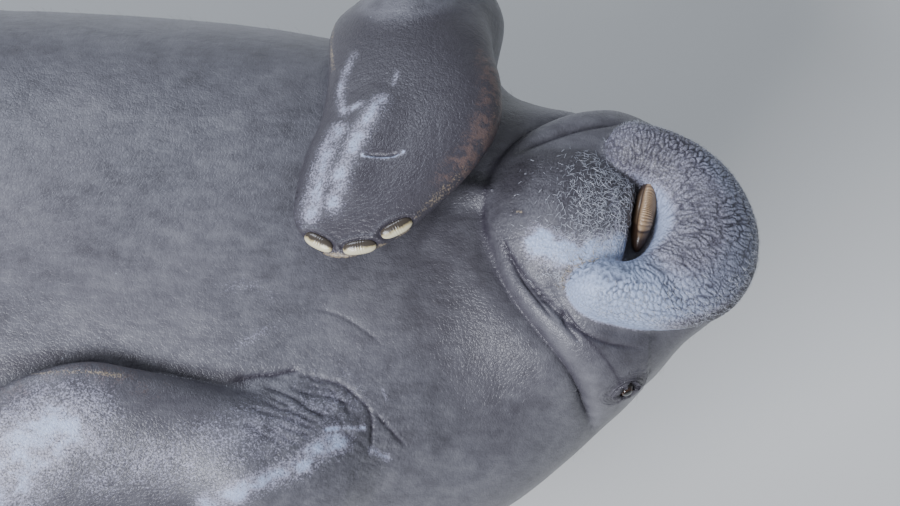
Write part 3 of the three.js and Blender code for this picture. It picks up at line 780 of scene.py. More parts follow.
def lip_border(along, turn, wander, bulk):
    """How far a place lies from a groove, in cells as wide at the lip's rim as beside the mouth."""
    across = np.interp(turn, LIP_TURN, CELLS_ACROSS) + 0.4 * wander
    row = np.floor(across)
    reach = []
    for j in (-1, 0, 1):
        row_turn = np.interp(row + j + 0.5, CELLS_ACROSS, LIP_TURN)
        step = LIP_CELL / (1 - bulk * np.cos(row_turn))
        a = along / step + wander
        for i in (-1, 0, 1):
            cell = np.stack([np.floor(a) + i, row + j, np.full(len(a), LIP_SEED)], 1)
            cell = cell.astype(np.int64)
            spot = cell[:, :2] + 0.5 + SCATTER * (scattered(cell, LIP_SEED)[:, :2] - 0.5)
            wide = (a - spot[:, 0]) * step * (1 - bulk * np.cos(turn)) / LIP_CELL
            reach.append(np.hypot(wide, across - spot[:, 1]))
    reach = np.sort(reach, 0)
    return reach[1] - reach[0]


def lip_place(h):
    """Way along the lip from its middle in millimetres, and round its section from the mouth."""
    angle, t, beyond, u, w = lip_section(h)
    along = np.sign(h[:, 1]) * (angle * mix(108, 90, t) + beyond)
    return along, np.arctan2(w / mix(50, 46, t), -u / mix(64, 34, t))


FACE_FROM = 1100


def on_face(p):
    """Which places are on the face, and for those: the place, in the head's frame too, how far it
    is from lip and chin, and where along and round the lip it lies."""
    face = p[:, 0] > FACE_FROM
    h = to_head(p[face])
    return face, p[face], h, from_measure(lip_measure, h), chin(h), *lip_place(h)


def relief(p, out):
    """Height of the hide's own texture above its smooth form, and its painted shade in grooves."""
    height, groove = np.zeros(len(p)), np.zeros(len(p))
    height += 1.1 * soft_noise(p, 90, 1) + 0.5 * soft_noise(p, 34, 2)

    # The lip's grooves and the chin's pebbles, with painted shade in the cuts between them
    face, q, h, lip_away, chin_away, along, turn = on_face(p)
    on_lip = (1 - fade(lip_away, 1, 5)) * fade(chin_away, 1, 6)
    on_chin = (1 - fade(chin_away, 1, 5)) * fade(lip_away, 1, 6) * fade(h[:, 2], 20, 50)
    wander = 0.9 * soft_noise(q, 17, 3) + 0.4 * soft_noise(q, 6, 4)
    bulk = 0.61 - 0.2 * fade(np.abs(along), 60, 150)
    border = lip_border(along, turn, wander, bulk)
    cut = 1 - fade(border, 0.0, 0.38)
    strength = (0.3 + 0.7 * fade(turn, 0.0, 0.3)) * (1 - 0.35 * fade(turn, 2.5, 3.0))
    lobe_end = fade(-along, 120, 180) * fade(turn, 1.2, 2.1)
    strength = strength * (1 - 0.6 * lobe_end) * (0.8 + 0.35 * soft_noise(q, 24, 14))
    lip_height = 1.05 * strength * (0.35 - cut * 1.6) + 0.3 * soft_noise(q, 2.6, 6)
    valley = np.exp(-((along + 78) / 9) ** 2) * fade(turn, 0.4, 1.0) * (1 - fade(turn, 1.9, 2.6))
    height[face] += on_lip * (lip_height - 3.2 * valley)
    groove[face] += on_lip * strength * cut * (0.85 + 0.15 * fade(turn, 1.2, 2.0))
    pebble = cell_border(h[:, 0] / 4.2 + wander, h[:, 1] / 4.2 - 0.6 * wander, 7)
    chin_cut = 1 - fade(pebble, 0.0, 0.35)
    height[face] += on_chin * (0.2 - 0.55 * chin_cut + 0.35 * soft_noise(q, 9, 8))
    groove[face] += 0.3 * on_chin * chin_cut

    # Two crossing sets of wrinkles at the left arm's root, with painted shade in them
    pit = arm_pit(p)
    near = pit > 0
    q, pit = p[near], pit[near]
    slant = math.radians(24)
    a = q[:, 0] * math.cos(slant) - q[:, 1] * math.sin(slant)
    b = q[:, 0] * math.sin(slant) + q[:, 1] * math.cos(slant)
    wander = 0.3 * soft_noise(q, 26, 9)
    wrinkle = 1 - fade(cell_border(a / 22, b / 5.5 + wander, 10), 0.0, 0.35)
    cross = 1 - fade(cell_border(a / 6.0 + wander, b / 17, 11), 0.0, 0.3)
    height[near] += pit * (0.3 - 0.7 * wrinkle - 0.4 * cross)
    groove[near] += 0.3 * pit * np.maximum(wrinkle, 0.5 * cross)

    # The bone that lifts the back of the right flipper in a low ridge along its trailing side
    away, share = near_line(p, RIDGE, 60)
    height += 6.5 * (1 - fade(away, 0, 60)) ** 1.5 * fade(share, 0, 0.3) * (1 - fade(share, 0.7, 1))

    # Creases, with painted shade in them, and the painted shade in the throat's folds
    for line, deep, wide in CREASES:
        away, share = near_line(p, line, 12)
        dent = np.exp(-(np.sqrt(away ** 2 + 0.3) - 0.55) / wide) - math.exp(-12 / wide)
        dent = np.maximum(dent, 0) * fade(share, 0, 0.2) * (1 - fade(share, 0.8, 1))
        height -= deep * dent
        groove += 0.3 * deep * dent ** 1.5

    h = to_head(p)
    for number, start, end in ((0, -1, 0), (1, 48, 78)):
        line = np.abs(fold_line(h, number))
        reach = fade(h[:, 2], -150, -30) * fade(np.abs(h[:, 1]), start, end)
        groove += 0.9 * reach * np.exp(-line / 4.5) * (p[:, 0] > 1000)

    # Rings round the eyes, and a bed and a rolled cuticle for each nail, with painted shade in the
    # rings' hollows and in the beds
    for at, out_of_eye in eyes.values():
        near = np.linalg.norm(p - at, axis=1) < 46
        q = p[near] - at
        flat = np.linalg.norm(q - (q @ out_of_eye)[:, None] * out_of_eye, axis=1)
        ring = np.cos(flat / 3.6 * 2 * math.pi + 1.4 * soft_noise(p[near], 9, 12))
        share = fade(flat, 13, 18) * (1 - fade(flat, 26, 44))
        height[near] += 0.7 * share * ring
        groove[near] += 0.6 * share * fade(-ring, 0, 1)
    for at, ways in NAIL_SEATS.values():
        near = (np.linalg.norm(p - at, axis=1) < 45) & (out @ ways[2] > 0.2)
        x, y, z = ((p[near] - at) @ ways.T).T
        ring = np.hypot(x / NAIL_SIZE[0], y / NAIL_SIZE[1])
        upper = fade(z, -6, -3)
        bed = np.exp(-((ring - 1.05) / 0.16) ** 2) * upper
        cuticle = np.exp(-((ring - 1.45) / 0.25) ** 2) * fade(-x, -2, 5) * upper
        height[near] += 1.5 * cuticle - 1.0 * bed
        groove[near] += 0.8 * bed
    return height, np.clip(groove, 0, 1)


SCRATCH = drawn_on_skin([(366, 156), (378, 156), (390, 155), (400, 152)])


def tints(p):
    """How pale, tan, brown and dark the hide is at each place, painted sheen and shade included."""
    pale, tan, brown, dark = (np.zeros(len(p)) for _ in range(4))
    # The lip is palest beside the mouth and on its left lobe, its own pale colour with painted
    # sheen over it, and gets painted shade at its rim; the chin is dark on its right side and brown
    # beside the mouth
    face, q, h, lip_away, chin_away, along, turn = on_face(p)
    on_lip = (1 - fade(lip_away, 0, 5)) * fade(h[:, 2], -20, 20)
    rim = fade(turn, 2.3, 2.8)
    lobe = fade(-along, 40, 115)
    inner = 0.85 - 0.85 * fade(turn, 0.15, 0.6)
    strength = 0.5 + 0.2 * fade(turn, 0.9, 1.8) * (1 - lobe) + 0.4 * np.maximum(lobe, inner)
    strength = strength * (1 - 0.22 * fade(along, 70, 120))
    pale[face] = on_lip * (1 - 0.9 * rim * (1 - lobe)) * strength
    dark[face] = on_lip * (0.25 * fade(turn, 0.3, 0.9) + 0.7 * rim) * (1 - lobe)
    on_chin = (1 - fade(chin_away, 0, 6)) * fade(h[:, 2], 20, 60)
    dark[face] += on_chin * 0.66 * fade(h[:, 1], -45, 10) * (1 - 0.7 * fade(h[:, 0], 0, 50))
    brown[face] = on_chin * fade(h[:, 0], 32, 54) * 0.5
    corner = np.maximum(lip_away, chin_away)
    left_corner = (h[:, 0] < 45) * (h[:, 1] < 0) * (h[:, 2] > 30)
    brown[face] += 0.4 * (1 - fade(corner, 4, 12)) * left_corner

    # The flippers are dark, with a brown leading edge
    coarse = fade(soft_noise(p, 7, 21) + 0.6 * soft_noise(p, 3.2, 22), -0.5, 0.5)
    flippers = np.zeros(len(p))
    for name, brownness, darkness in (("right", 1.0, 1.0), ("left", 0.5, 0.65)):
        arm = LIMBS[name]
        u, v, w = on_limb(arm, p).T
        near = (u > -60) & (u < 390) & (np.abs(w) < 100) & (np.abs(v) < 170)
        own = np.zeros(len(p))
        own[near] = 1 - fade(from_measure(lambda q: flipper_measure(arm, q), p[near]), 1, 5)
        leading = through(arm["edges"][0], u)
        edge = fade(v, leading - 40, leading - 10)
        flippers += own
        middle = fade(u, 40, 110) * (1 - fade(u, 240, 320))
        brown += brownness * own * edge * middle * (0.4 + 0.6 * coarse)
        dark += darkness * own * fade(u, -60, 60)
    # Painted shade round the sunk eyes
    for at, out in eyes.values():
        dark += 0.8 * (1 - fade(np.linalg.norm(p - at, axis=1), 14, 42))

    # Marks traced from the photograph, painted sheen and painted shadow among them, then the
    # scratch's bare middle
    broken = 0.9 + 0.25 * soft_noise(p, 14, 23) + 0.2 * soft_noise(p, 4, 24)
    for kind, total in (("pale", pale), ("dark", dark), ("tan", tan)):
        for line, wide, strong in MARKS[kind]:
            away = near_line(p, line, 1.5 * wide)[0]
            start = 0 if kind == "pale" else 0.35
            mark = strong * np.clip(broken, 0, 1.1) * (1 - fade(away, start * wide, 1.5 * wide))
            if kind == "tan" and wide > 2:
                mark = mark * flippers
            np.maximum(total, mark, out=total)
    dark *= 1 - 0.8 * np.clip(pale, 0, 1) * (p[:, 0] < 1200)
    pale *= 1 - 0.9 * (1 - fade(near_line(p, SCRATCH, 8)[0], 0.9, 2.2))
    return [np.clip(values, 0, 1) for values in (pale, tan, brown, dark)]


skin_pale, skin_tan, skin_brown, skin_dark_and_shade = tints(skin_points)
skin_normals = normals_of(skin_points, skin_triangles)
skin_height, skin_groove = relief(skin_points, skin_normals)
skin_points = skin_points + skin_normals * skin_height[:, None]


def mesh_object(name, points, faces, smooth=True):
    mesh = bpy.data.meshes.new(name)
    mesh.from_pydata(np.asarray(points).tolist(), [], [list(map(int, face)) for face in faces])
    mesh.update()
    if smooth:
        mesh.polygons.foreach_set("use_smooth", [True] * len(mesh.polygons))
    piece = bpy.data.objects.new(name, mesh)
    bpy.context.scene.collection.objects.link(piece)
    return piece


def in_metres(points):
    return (np.asarray(points) + (0, 0, LEVEL)) / 1000


def give_values(piece, **values):
    """Values for each point of a mesh, which its material reads by name."""
    for name, numbers in values.items():
        held = piece.data.attributes.new(name, "FLOAT", "POINT")
        held.data.foreach_set("value", np.asarray(numbers, np.float32))


skin = mesh_object("skin", in_metres(skin_points), skin_triangles)
give_values(skin, groove=skin_groove, pale=skin_pale, tan=skin_tan, brown=skin_brown,
            dark=skin_dark_and_shade)
FLESH = [
    "torso_loin", "torso_belly", "torso_chest", "tail_root", "tail_paddle", "neck", "head",
    "muzzle", "lip_pad", "chin", "flipper_right", "flipper_left",
]
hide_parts(*FLESH)
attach(skin, "root")


def colour(hex_value):
    """An sRGB hex colour as linear light."""
    parts = [int(hex_value[i:i + 2], 16) / 255 for i in (1, 3, 5)]
    return [c / 12.92 if c <= 0.04045 else ((c + 0.055) / 1.055) ** 2.4 for c in parts] + [1]


def node(tree, kind, links=(), values=(), **settings):
    """A node with its settings, its fixed (input, value) and its links (input, node, output)."""
    made = tree.nodes.new("ShaderNode" + kind)
    for key, value in settings.items():
        socket = key.replace("_", " ")
        if socket in made.inputs:
            made.inputs[socket].default_value = value
        else:
            setattr(made, key, value)
    for socket, value in values:
        made.inputs[socket].default_value = value
    for socket, source, output in links:
        tree.links.new(source.outputs[output], made.inputs[socket])
    return made


def new_material(name, **values):
    """A material, its node tree and its shader, whose inputs take the values."""
    material = bpy.data.materials.new(name)
    material.use_nodes = True
    tree = material.node_tree
    shader = tree.nodes["Principled BSDF"]
    for key, value in values.items():
        shader.inputs[key.replace("_", " ")].default_value = value
    return material, tree, shader


def drive(tree, shader, **sources):
    """Shader inputs fed from a node's output, each given as (node, output)."""
    for key, (source, output) in sources.items():
        tree.links.new(source.outputs[output], shader.inputs[key.replace("_", " ")])


def shades(ramp, *stops):
    """A ramp's colours, each with its place."""
    held = ramp.color_ramp.elements
    for element, (place_along, shade) in zip(held, (stops[0], stops[-1])):
        element.position, element.color = place_along, colour(shade)
    for place_along, shade in stops[1:-1]:
        held.new(place_along).color = colour(shade)


def blend(tree, share, shade, under, under_socket="Result", most=None):
    """A colour, or a node's colour, laid over another by a share from a node's output."""
    if most is not None:
        part = node(tree, "Math", [(0, *share)], [(1, most)], operation="MULTIPLY")
        share = (part, "Value")
    mixed = node(tree, "Mix", [("Factor", *share), ("A", under, under_socket)], data_type="RGBA")
    if isinstance(shade, str):
        mixed.inputs["B"].default_value = colour(shade)
    else:
        tree.links.new(shade.outputs["Color"], mixed.inputs["B"])
    return mixed


def speckled(tree, value, grains, soft):
    """A share whose middle values are broken into fine grains, and none where the value is 0."""
    lifted = node(tree, "Math", [(0, value, "Fac"), (2, grains, "Result")], [(1, 1.3)],
                  operation="MULTIPLY_ADD")
    spread = node(tree, "MapRange", [("Value", lifted, "Value")], From_Min=1.0, From_Max=1.0 + soft)
    return spread, "Result"


# Wet hide: thick slate-grey skin, wet all over, mottled, specked and finely creased, so the light
# lies on it in soft pale sheets. Painted sheen, and painted shade and shadow, are laid into its
# colour as well
wet_hide, tree, shader = new_material(
    "wet_hide", IOR=1.4, Coat_Weight=0.35, Coat_Roughness=0.2, Coat_IOR=1.33)
here = [("Vector", node(tree, "TexCoord"), "Object")]
value = {name: node(tree, "Attribute", attribute_name=name)
         for name in ("groove", "pale", "tan", "brown", "dark")}
# Mottling: patches of 140 mm, blotches of 24 mm and streaks that run along the body, 22 mm by 8 mm
patches = node(tree, "TexNoise", here, Scale=7.0, Detail=4.0)
blotches = node(tree, "TexNoise", here, Scale=42.0, Detail=6.0, Roughness=0.65)
streaked = node(tree, "Mapping", here, Scale=(45, 130, 45))
streaks = node(tree, "TexNoise", [("Vector", streaked, "Vector")], Scale=1.0, Detail=3.0)
mottle = node(tree, "Mix", [("A", blotches, "Fac"), ("B", streaks, "Fac")], Factor=0.35)
broad = node(tree, "Math", [(0, patches, "Fac"), (2, mottle, "Result")], [(1, 0.5)],
             operation="MULTIPLY_ADD")
tone = node(tree, "MapRange", [("Value", broad, "Value")], From_Min=0.45, From_Max=1.05)
# Grains of about 2 mm, into which the painted sheen breaks up on the wrinkled skin
sand = node(tree, "TexNoise", here, Scale=430.0, Detail=3.0, Roughness=0.7)
grains = node(tree, "MapRange", [("Value", sand, "Fac")], From_Min=0.3, From_Max=0.7)
ground = node(tree, "ValToRGB", [("Fac", tone, "Result")])
shades(ground, (0.2, "#4d4e54"), (0.5, "#62636a"), (0.8, "#75767c"))
warm = node(tree, "TexNoise", here, Scale=3.4, Detail=3.0)
warmed = blend(tree, (warm, "Fac"), "#645a5e", ground, "Color", most=0.35)
# Dark skin of the flippers, the chin and the scratch, and painted shade at the lip's rim, round the
# eyes, on the neck and under the left flipper's edge
shaded = blend(tree, (value["dark"], "Fac"), "#38343b", warmed, most=0.8)
# Painted sheen: pale bluish reflections, broken into grains, over the lip's own pale colour
sheen = node(tree, "ValToRGB", [("Fac", value["pale"], "Fac")])
shades(sheen, (0.6, "#a3a2b4"), (0.92, "#b2c3e3"))
lit = blend(tree, speckled(tree, value["pale"], grains, 0.5), sheen, shaded, most=0.88)
browned = blend(tree, speckled(tree, value["brown"], grains, 0.8), "#6c5954", lit, most=0.85)
sandy = blend(tree, speckled(tree, value["tan"], grains, 0.5), "#aa9a80", browned, most=0.8)
# Painted shade in the grooves, wrinkles, creases and folds
cut = blend(tree, (value["groove"], "Fac"), "#2f2a36", sandy, most=0.88)
# Pale specks about 1.5 mm across, strewn 25 mm apart and on a third of those places
spots = node(tree, "TexVoronoi", here, Scale=40.0)
speck = node(tree, "MapRange", [("Value", spots, "Distance")], From_Min=0.05, From_Max=0.02)
rare = node(tree, "Math", [(0, spots, "Color")], [(1, 0.62)], operation="GREATER_THAN")
both = node(tree, "Math", [(0, speck, "Result"), (1, rare, "Value")], operation="MULTIPLY")
specked = blend(tree, (both, "Value"), "#a9adb8", cut, most=0.6)
# Creases that part the skin into 4 mm diamonds, over swells of 6 mm and a grain of 1 mm
diamonds = node(tree, "TexVoronoi", here, Scale=250.0, feature="DISTANCE_TO_EDGE")
crease = node(tree, "MapRange", [("Value", diamonds, "Distance")], From_Max=0.16)
swells = node(tree, "TexNoise", here, Scale=160.0, Detail=3.0)
grain = node(tree, "TexNoise", here, Scale=900.0, Detail=2.0)
raised = node(tree, "Bump", [("Height", crease, "Result")], Strength=0.35, Distance=0.0006)
raised = node(tree, "Bump", [("Height", swells, "Fac"), ("Normal", raised, "Normal")],
              Strength=0.55, Distance=0.0016)
raised = node(tree, "Bump", [("Height", grain, "Fac"), ("Normal", raised, "Normal")],
              Strength=0.35, Distance=0.0004)
wetness = node(tree, "MapRange", [("Value", blotches, "Fac")], To_Min=0.28, To_Max=0.5)
drive(tree, shader, Base_Color=(specked, "Result"), Roughness=(wetness, "Result"),
      Normal=(raised, "Normal"), Coat_Normal=(raised, "Normal"))
skin.data.materials.append(wet_hide)

# Eyes. A manatee's eye is small and dark, a wet ball sunk in a ring of creased lid with no lashes.
# Each is one closed ball with a bulging cornea, set in the socket that the skin leaves for it.
def ball(radius_at, across, down):
    """A closed ball from a radius at each angle from its front and round it, with those angles."""
    tilt = np.linspace(0, math.pi, down + 1)[1:-1]
    turn = np.arange(across) * 2 * math.pi / across
    tilt, turn = np.meshgrid(tilt, turn, indexing="ij")
    tilt = np.concatenate([[0], tilt.ravel(), [math.pi]])
    turn = np.concatenate([[0], turn.ravel(), [0]])
    way = np.stack([np.cos(tilt), np.sin(tilt) * np.cos(turn), np.sin(tilt) * np.sin(turn)], 1)
    points = way * np.broadcast_to(radius_at(tilt, turn), tilt.shape)[:, None]
    faces = []
    last = len(points) - 1
    for j in range(across):
        k = (j + 1) % across
        faces.append((0, 1 + j, 1 + k))
        faces.append((last, last - across + k, last - across + j))
        for i in range(down - 2):
            low, high = 1 + i * across, 1 + (i + 1) * across
            faces.append((low + j, high + j, high + k, low + k))
    return points, faces, tilt, turn


def axes_from(out):
    """The outward direction and two square to it, as rows."""
    out = Vector(out).normalized()
    side = out.cross(Vector((0, 0, 1))).normalized()
    return np.array([out, side, out.cross(side)])


# Dark wet eye: near-black brown under a film of tears, so it shows one small sharp glint
eye_ball, tree, shader = new_material(
    "dark_wet_eye", Roughness=0.06, IOR=1.376, Coat_Weight=1.0, Coat_Roughness=0.03)
front = node(tree, "Attribute", attribute_name="from_front")
here = [("Vector", node(tree, "TexCoord"), "Object")]
streaks = node(tree, "TexNoise", here, Scale=900.0, Detail=3.0)
rays = node(tree, "Math", [(0, streaks, "Fac"), (2, front, "Fac")], [(1, 0.03)],
            operation="MULTIPLY_ADD")
ramp = node(tree, "ValToRGB", [("Fac", rays, "Value")])
shades(ramp, (0.16, "#040404"), (0.19, "#3a2418"), (0.30, "#2a1a12"), (0.35, "#0d0a09"),
       (0.42, "#4a403c"), (0.6, "#3d3532"))
drive(tree, shader, Base_Color=(ramp, "Color"))

for name, (at, out) in eyes.items():
    points, faces, tilt, turn = ball(
        lambda tilt, turn: EYE["radius"] + 1.2 * (1 - fade(tilt, 0.45, 0.75)), 48, 32)
    middle = at - EYE["sunk"] * out
    eye = mesh_object(f"eyeball_{name}", in_metres(middle + points @ axes_from(out)), faces)
    give_values(eye, from_front=tilt / math.pi)
    eye.data.materials.append(eye_ball)
    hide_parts(f"eye_{name}")
    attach(eye, "root")

# Mouth pad. A horny ridged pad closes the mouth between the chin and the lip, tan and cross-ribbed
# with a groove along its chin side darkened by painted shade, grown from the jaw.
PAD_AT, PAD_RADII = np.array([73.5, 21.0, 68.0]), np.array([50.0, 13.0, 23.5])
RIB = 4.6


def pad_ribs(tilt):
    """The ribs' own wave along the pad, a little uneven."""
    along = np.cos(tilt) * PAD_RADII[0]
    return np.cos(2 * math.pi * along / RIB + 0.8 * np.sin(along / 9))


def pad_radius(tilt, turn):
    side = np.cos(turn)
    bare = 1 / np.sqrt((np.cos(tilt) / PAD_RADII[0]) ** 2
                       + (np.sin(tilt) * np.cos(turn) / PAD_RADII[1]) ** 2
                       + (np.sin(tilt) * np.sin(turn) / PAD_RADII[2]) ** 2)
    furrow = 2.2 * np.exp(-((side + 0.34) / 0.09) ** 2)
    return bare + (0.8 * pad_ribs(tilt) * fade(side, -0.3, 0.0) - furrow) * np.sin(tilt)


# Horn pad: dull tan keratin, mottled, darkened by painted shade between its ribs, so each rib
# reads as a pale bar
pad_horn, tree, shader = new_material("horn_pad", Roughness=0.42, Coat_Weight=0.2)
cut = node(tree, "Attribute", attribute_name="cut")
here = [("Vector", node(tree, "TexCoord"), "Object")]
stain = node(tree, "TexNoise", here, Scale=160.0, Detail=4.0)
tan = node(tree, "Mix", [("Factor", stain, "Fac")], data_type="RGBA",
           A=colour("#8a6d50"), B=colour("#c9ad8a"))
# Dark brown where the pad lies in painted shade, and on its chin side for its darker horn too
brown = blend(tree, (cut, "Fac"), "#3a2a20", tan)
drive(tree, shader, Base_Color=(brown, "Result"))

points, faces, tilt, turn = ball(pad_radius, 72, 160)
side, end = np.cos(turn), np.abs(np.cos(tilt))
# Painted shade along the pad's sides where the chin and lip overhang it, with darker horn on the
# chin side, in its furrow, between its ribs and at its ends
pad_dark_and_shade = np.maximum(1 - fade(side, -0.5, -0.1), fade(side, 0.6, 0.9)) * 0.85
pad_dark_and_shade = np.maximum(pad_dark_and_shade, np.exp(-((side + 0.34) / 0.1) ** 2))
pad_dark_and_shade = np.maximum(pad_dark_and_shade, 0.5 * (0.5 - 0.5 * pad_ribs(tilt)) ** 3)
pad_dark_and_shade = np.clip(pad_dark_and_shade + fade(end, 0.75, 1), 0, 1)
pad = mesh_object("mouth_pad_ribbed", in_metres(to_body(points[:, [1, 0, 2]] + PAD_AT)),
                  [f[::-1] for f in faces])
give_values(pad, cut=pad_dark_and_shade)
pad.data.materials.append(pad_horn)
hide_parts("mouth_pad")
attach(pad, "root")

# Nails. Three flat horny nails grow from the rim of each flipper, brown at the root and pale at the
# free edge, seated in a groove under a rolled cuticle; the root's dark is partly painted shade.
# Nail horn: smooth keratin, milky yellow and faintly streaked, with a soft gloss
nail_horn, tree, shader = new_material("nail_horn", Roughness=0.3, Coat_Weight=0.35)
root_to_edge = node(tree, "Attribute", attribute_name="to_edge")
here = [("Vector", node(tree, "TexCoord"), "Object")]
streak = node(tree, "TexNoise", here, Scale=260.0, Detail=3.0)
mixed = node(tree, "Math", [(0, streak, "Fac"), (2, root_to_edge, "Fac")], [(1, 0.3)],
             operation="MULTIPLY_ADD")
# Dark root half: brown horn deepened by painted shade under the cuticle
ramp = node(tree, "ValToRGB", [("Fac", mixed, "Value")])
shades(ramp, (0.56, "#443c34"), (0.68, "#b5a67e"), (0.85, "#dcd3b2"))
drive(tree, shader, Base_Color=(ramp, "Color"))


def nail_radius(tilt, turn):
    """A flat plate, blunt round its edge, with ridges of growth running out along it."""
    way = np.stack([np.sin(tilt) * np.cos(turn), np.cos(tilt), np.sin(tilt) * np.sin(turn)])
    half = NAIL_SIZE[:, None]
    bare = (np.abs(way / half) ** 2.6).sum(0) ** (-1 / 2.6)
    return bare + 0.18 * np.cos(bare * way[1] / 1.5 * math.pi) * (way[2] > 0) * np.sin(tilt)


for name, (at, ways) in NAIL_SEATS.items():
    points, faces, tilt, turn = ball(nail_radius, 40, 48)
    points = points[:, [1, 0, 2]]
    x, y = points[:, 0] / NAIL_SIZE[0], points[:, 1] / NAIL_SIZE[1]
    points[:, 2] -= 0.9 * x ** 2 + 1.6 * y ** 2
    nail = mesh_object(f"horn_{name}", in_metres(at + points @ ways), faces)
    give_values(nail, to_edge=x / 2 + 0.5)
    nail.data.materials.append(nail_horn)
    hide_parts(name)
    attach(nail, "root")

# Bristles. Stiff pale hairs stand on the chin, the lip and the corners of the mouth, and a thin
# scatter of finer ones grows all over the body. Each is a tapered spike of horn rooted in the hide.
rng = np.random.default_rng(11)


def rooted(density, count):
    """Places strewn over the skin's triangles by how thickly a density grows there."""
    corners = skin_points[skin_triangles]
    middle = corners.mean(1)
    sides = corners[:, 1:] - corners[:, :1]
    area = np.linalg.norm(np.cross(sides[:, 0], sides[:, 1]), axis=1)
    weight = area * density(middle)
    pick = rng.choice(len(weight), count, p=weight / weight.sum())
    share = rng.random((count, 2))
    share = np.where(share.sum(1, keepdims=True) > 1, 1 - share, share)
    a, b, c = corners[pick].transpose(1, 0, 2)
    at = a + share[:, :1] * (b - a) + share[:, 1:] * (c - a)
    return at, skin_normals[skin_triangles[pick, 0]]


def unwrapped(p):
    """A place's spot on the skin laid flat: along the body, and round it."""
    round_body = np.arctan2(p[:, 2] + 170, p[:, 1]) / (2 * math.pi) + 0.5
    return np.stack([(p[:, 0] + 1500) / 3000, round_body], 1)


def unwrapped_head(p):
    """A place's spot on the head's skin laid flat, by the turns round it and over it."""
    x, y, z = (to_head(p) - (20, 0, -30)).T
    return np.stack([np.arctan2(y, x) / (2 * math.pi) + 0.5,
                     np.arctan2(z, np.hypot(x, y)) / math.pi + 0.5], 1)


PATCH = 0.003  # a bristle's patch on the map
RINGS = (0, 0.45, 0.8)  # where along a bristle its three rings of corners sit
ROOT_DEPTH = 0.8


def bristles(name, at, ways, bends, lengths, thick, spot, material):
    """One mesh of three-sided spikes that lean from their roots, each with its own patch of map."""
    ways = ways / np.linalg.norm(ways, axis=1)[:, None]
    side = np.cross(ways, np.roll(ways, 1, axis=1) + 0.1)
    side /= np.linalg.norm(side, axis=1)[:, None]
    other = np.cross(ways, side)
    corners = []
    for t in RINGS:
        middle = at + ways * (lengths * t - ROOT_DEPTH)[:, None]
        middle += bends * (lengths * t * t)[:, None]
        for corner in range(3):
            turn = corner * 2 * math.pi / 3
            off = math.cos(turn) * side + math.sin(turn) * other
            corners.append(middle + off * (thick * (1 - 0.62 * t))[:, None])
    corners.append(at + ways * (lengths - ROOT_DEPTH)[:, None] + bends * lengths[:, None])
    points = np.stack(corners, 1)
    faces = [(0, 2, 1)]
    for r in (0, 3):
        for c in range(3):
            d = (c + 1) % 3
            faces += [(r + c, r + d, r + 3 + d), (r + c, r + 3 + d, r + 3 + c)]
    faces += [(6 + c, 6 + (c + 1) % 3, 9) for c in range(3)]
    faces = (np.array(faces)[None] + 10 * np.arange(len(at))[:, None, None]).reshape(-1, 3)
    piece = mesh_object(name, in_metres(points.reshape(-1, 3)), faces, smooth=False)
    patch = [(c / 3 * PATCH, t * PATCH) for t in RINGS for c in range(3)] + [(PATCH / 2, PATCH)]
    spots = (spot[:, None] + patch - PATCH / 2).reshape(-1, 2)
    layer = piece.data.uv_layers.new(name="OFBake")
    layer.data.foreach_set("uv", spots[faces.ravel()].ravel())
    piece.data.materials.append(material)
    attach(piece, "root")


def hair_horn(name, dark, light, roughness):
    """Horn of hairs, a few shades darker or lighter from place to place, so no tuft looks flat."""
    material, tree, shader = new_material(name, Roughness=roughness)
    here = [("Vector", node(tree, "TexCoord"), "Object")]
    vary = node(tree, "TexNoise", here, Scale=140.0)
    tone = node(tree, "Mix", [("Factor", vary, "Fac")], data_type="RGBA",
                A=colour(dark), B=colour(light))
    drive(tree, shader, Base_Color=(tone, "Result"))
    return material


white_bristle = hair_horn("white_bristle_horn", "#9fa3b0", "#e2e5ee", 0.4)
tan_bristle = hair_horn("tan_bristle_horn", "#857a6c", "#b9ad9a", 0.45)
fine_hair = hair_horn("fine_body_hair", "#5f5d60", "#96938f", 0.5)


def strewn(name, density, count, length, thick, stand, drift, material, spot):
    """Bristles of a length range that stand off the skin by a share and drift along a direction."""
    at, out = rooted(density, count)
    flat = rng.normal(size=(count, 3)) + drift(at)
    flat -= (flat * out).sum(1)[:, None] * out
    flat /= np.linalg.norm(flat, axis=1)[:, None]
    ways = out * stand + flat * (1 - stand)
    lengths = rng.uniform(*length, count)
    bends = flat * rng.uniform(0.05, 0.3, count)[:, None] - out * 0.12
    bristles(name, at, ways, bends, lengths, rng.uniform(*thick, count), spot(at), material)


def chin_skin(p, low, high):
    """The place in the head's frame, and a share that is 1 on the chin above a height."""
    h = to_head(p)
    on = (1 - fade(np.abs(chin(h)), 2, 5)) * (from_measure(lip_measure, h) > 5)
    return h, on * fade(h[:, 2], low, high) * (p[:, 0] > FACE_FROM)


def chin_front(p):
    h, on = chin_skin(p, 45, 70)
    return on * fade(h[:, 0], -45, 25) * (1 - fade(h[:, 0], 54, 60))


def chin_rear(p):
    h, on = chin_skin(p, 30, 60)
    return on * (h[:, 0] < 30) * (h[:, 0] > -78)


def lip_zone(low, high, left_only=False):
    """A density on the lip between two turns round its section, all over or on its left lobe."""
    def density(p):
        h = to_head(p)
        along, turn = lip_place(h)
        on = (1 - fade(np.abs(from_measure(lip_measure, h)), 2, 6)) * (chin(h) > 6)
        zone = fade(turn, low, low + 0.3) * (1 - fade(turn, high - 0.3, high)) * (h[:, 2] > -20)
        lobe = fade(-along, 50, 80) * (1 - 0.9 * fade(-along, 105, 150)) if left_only else 1
        return on * (p[:, 0] > FACE_FROM) * zone * lobe
    return density


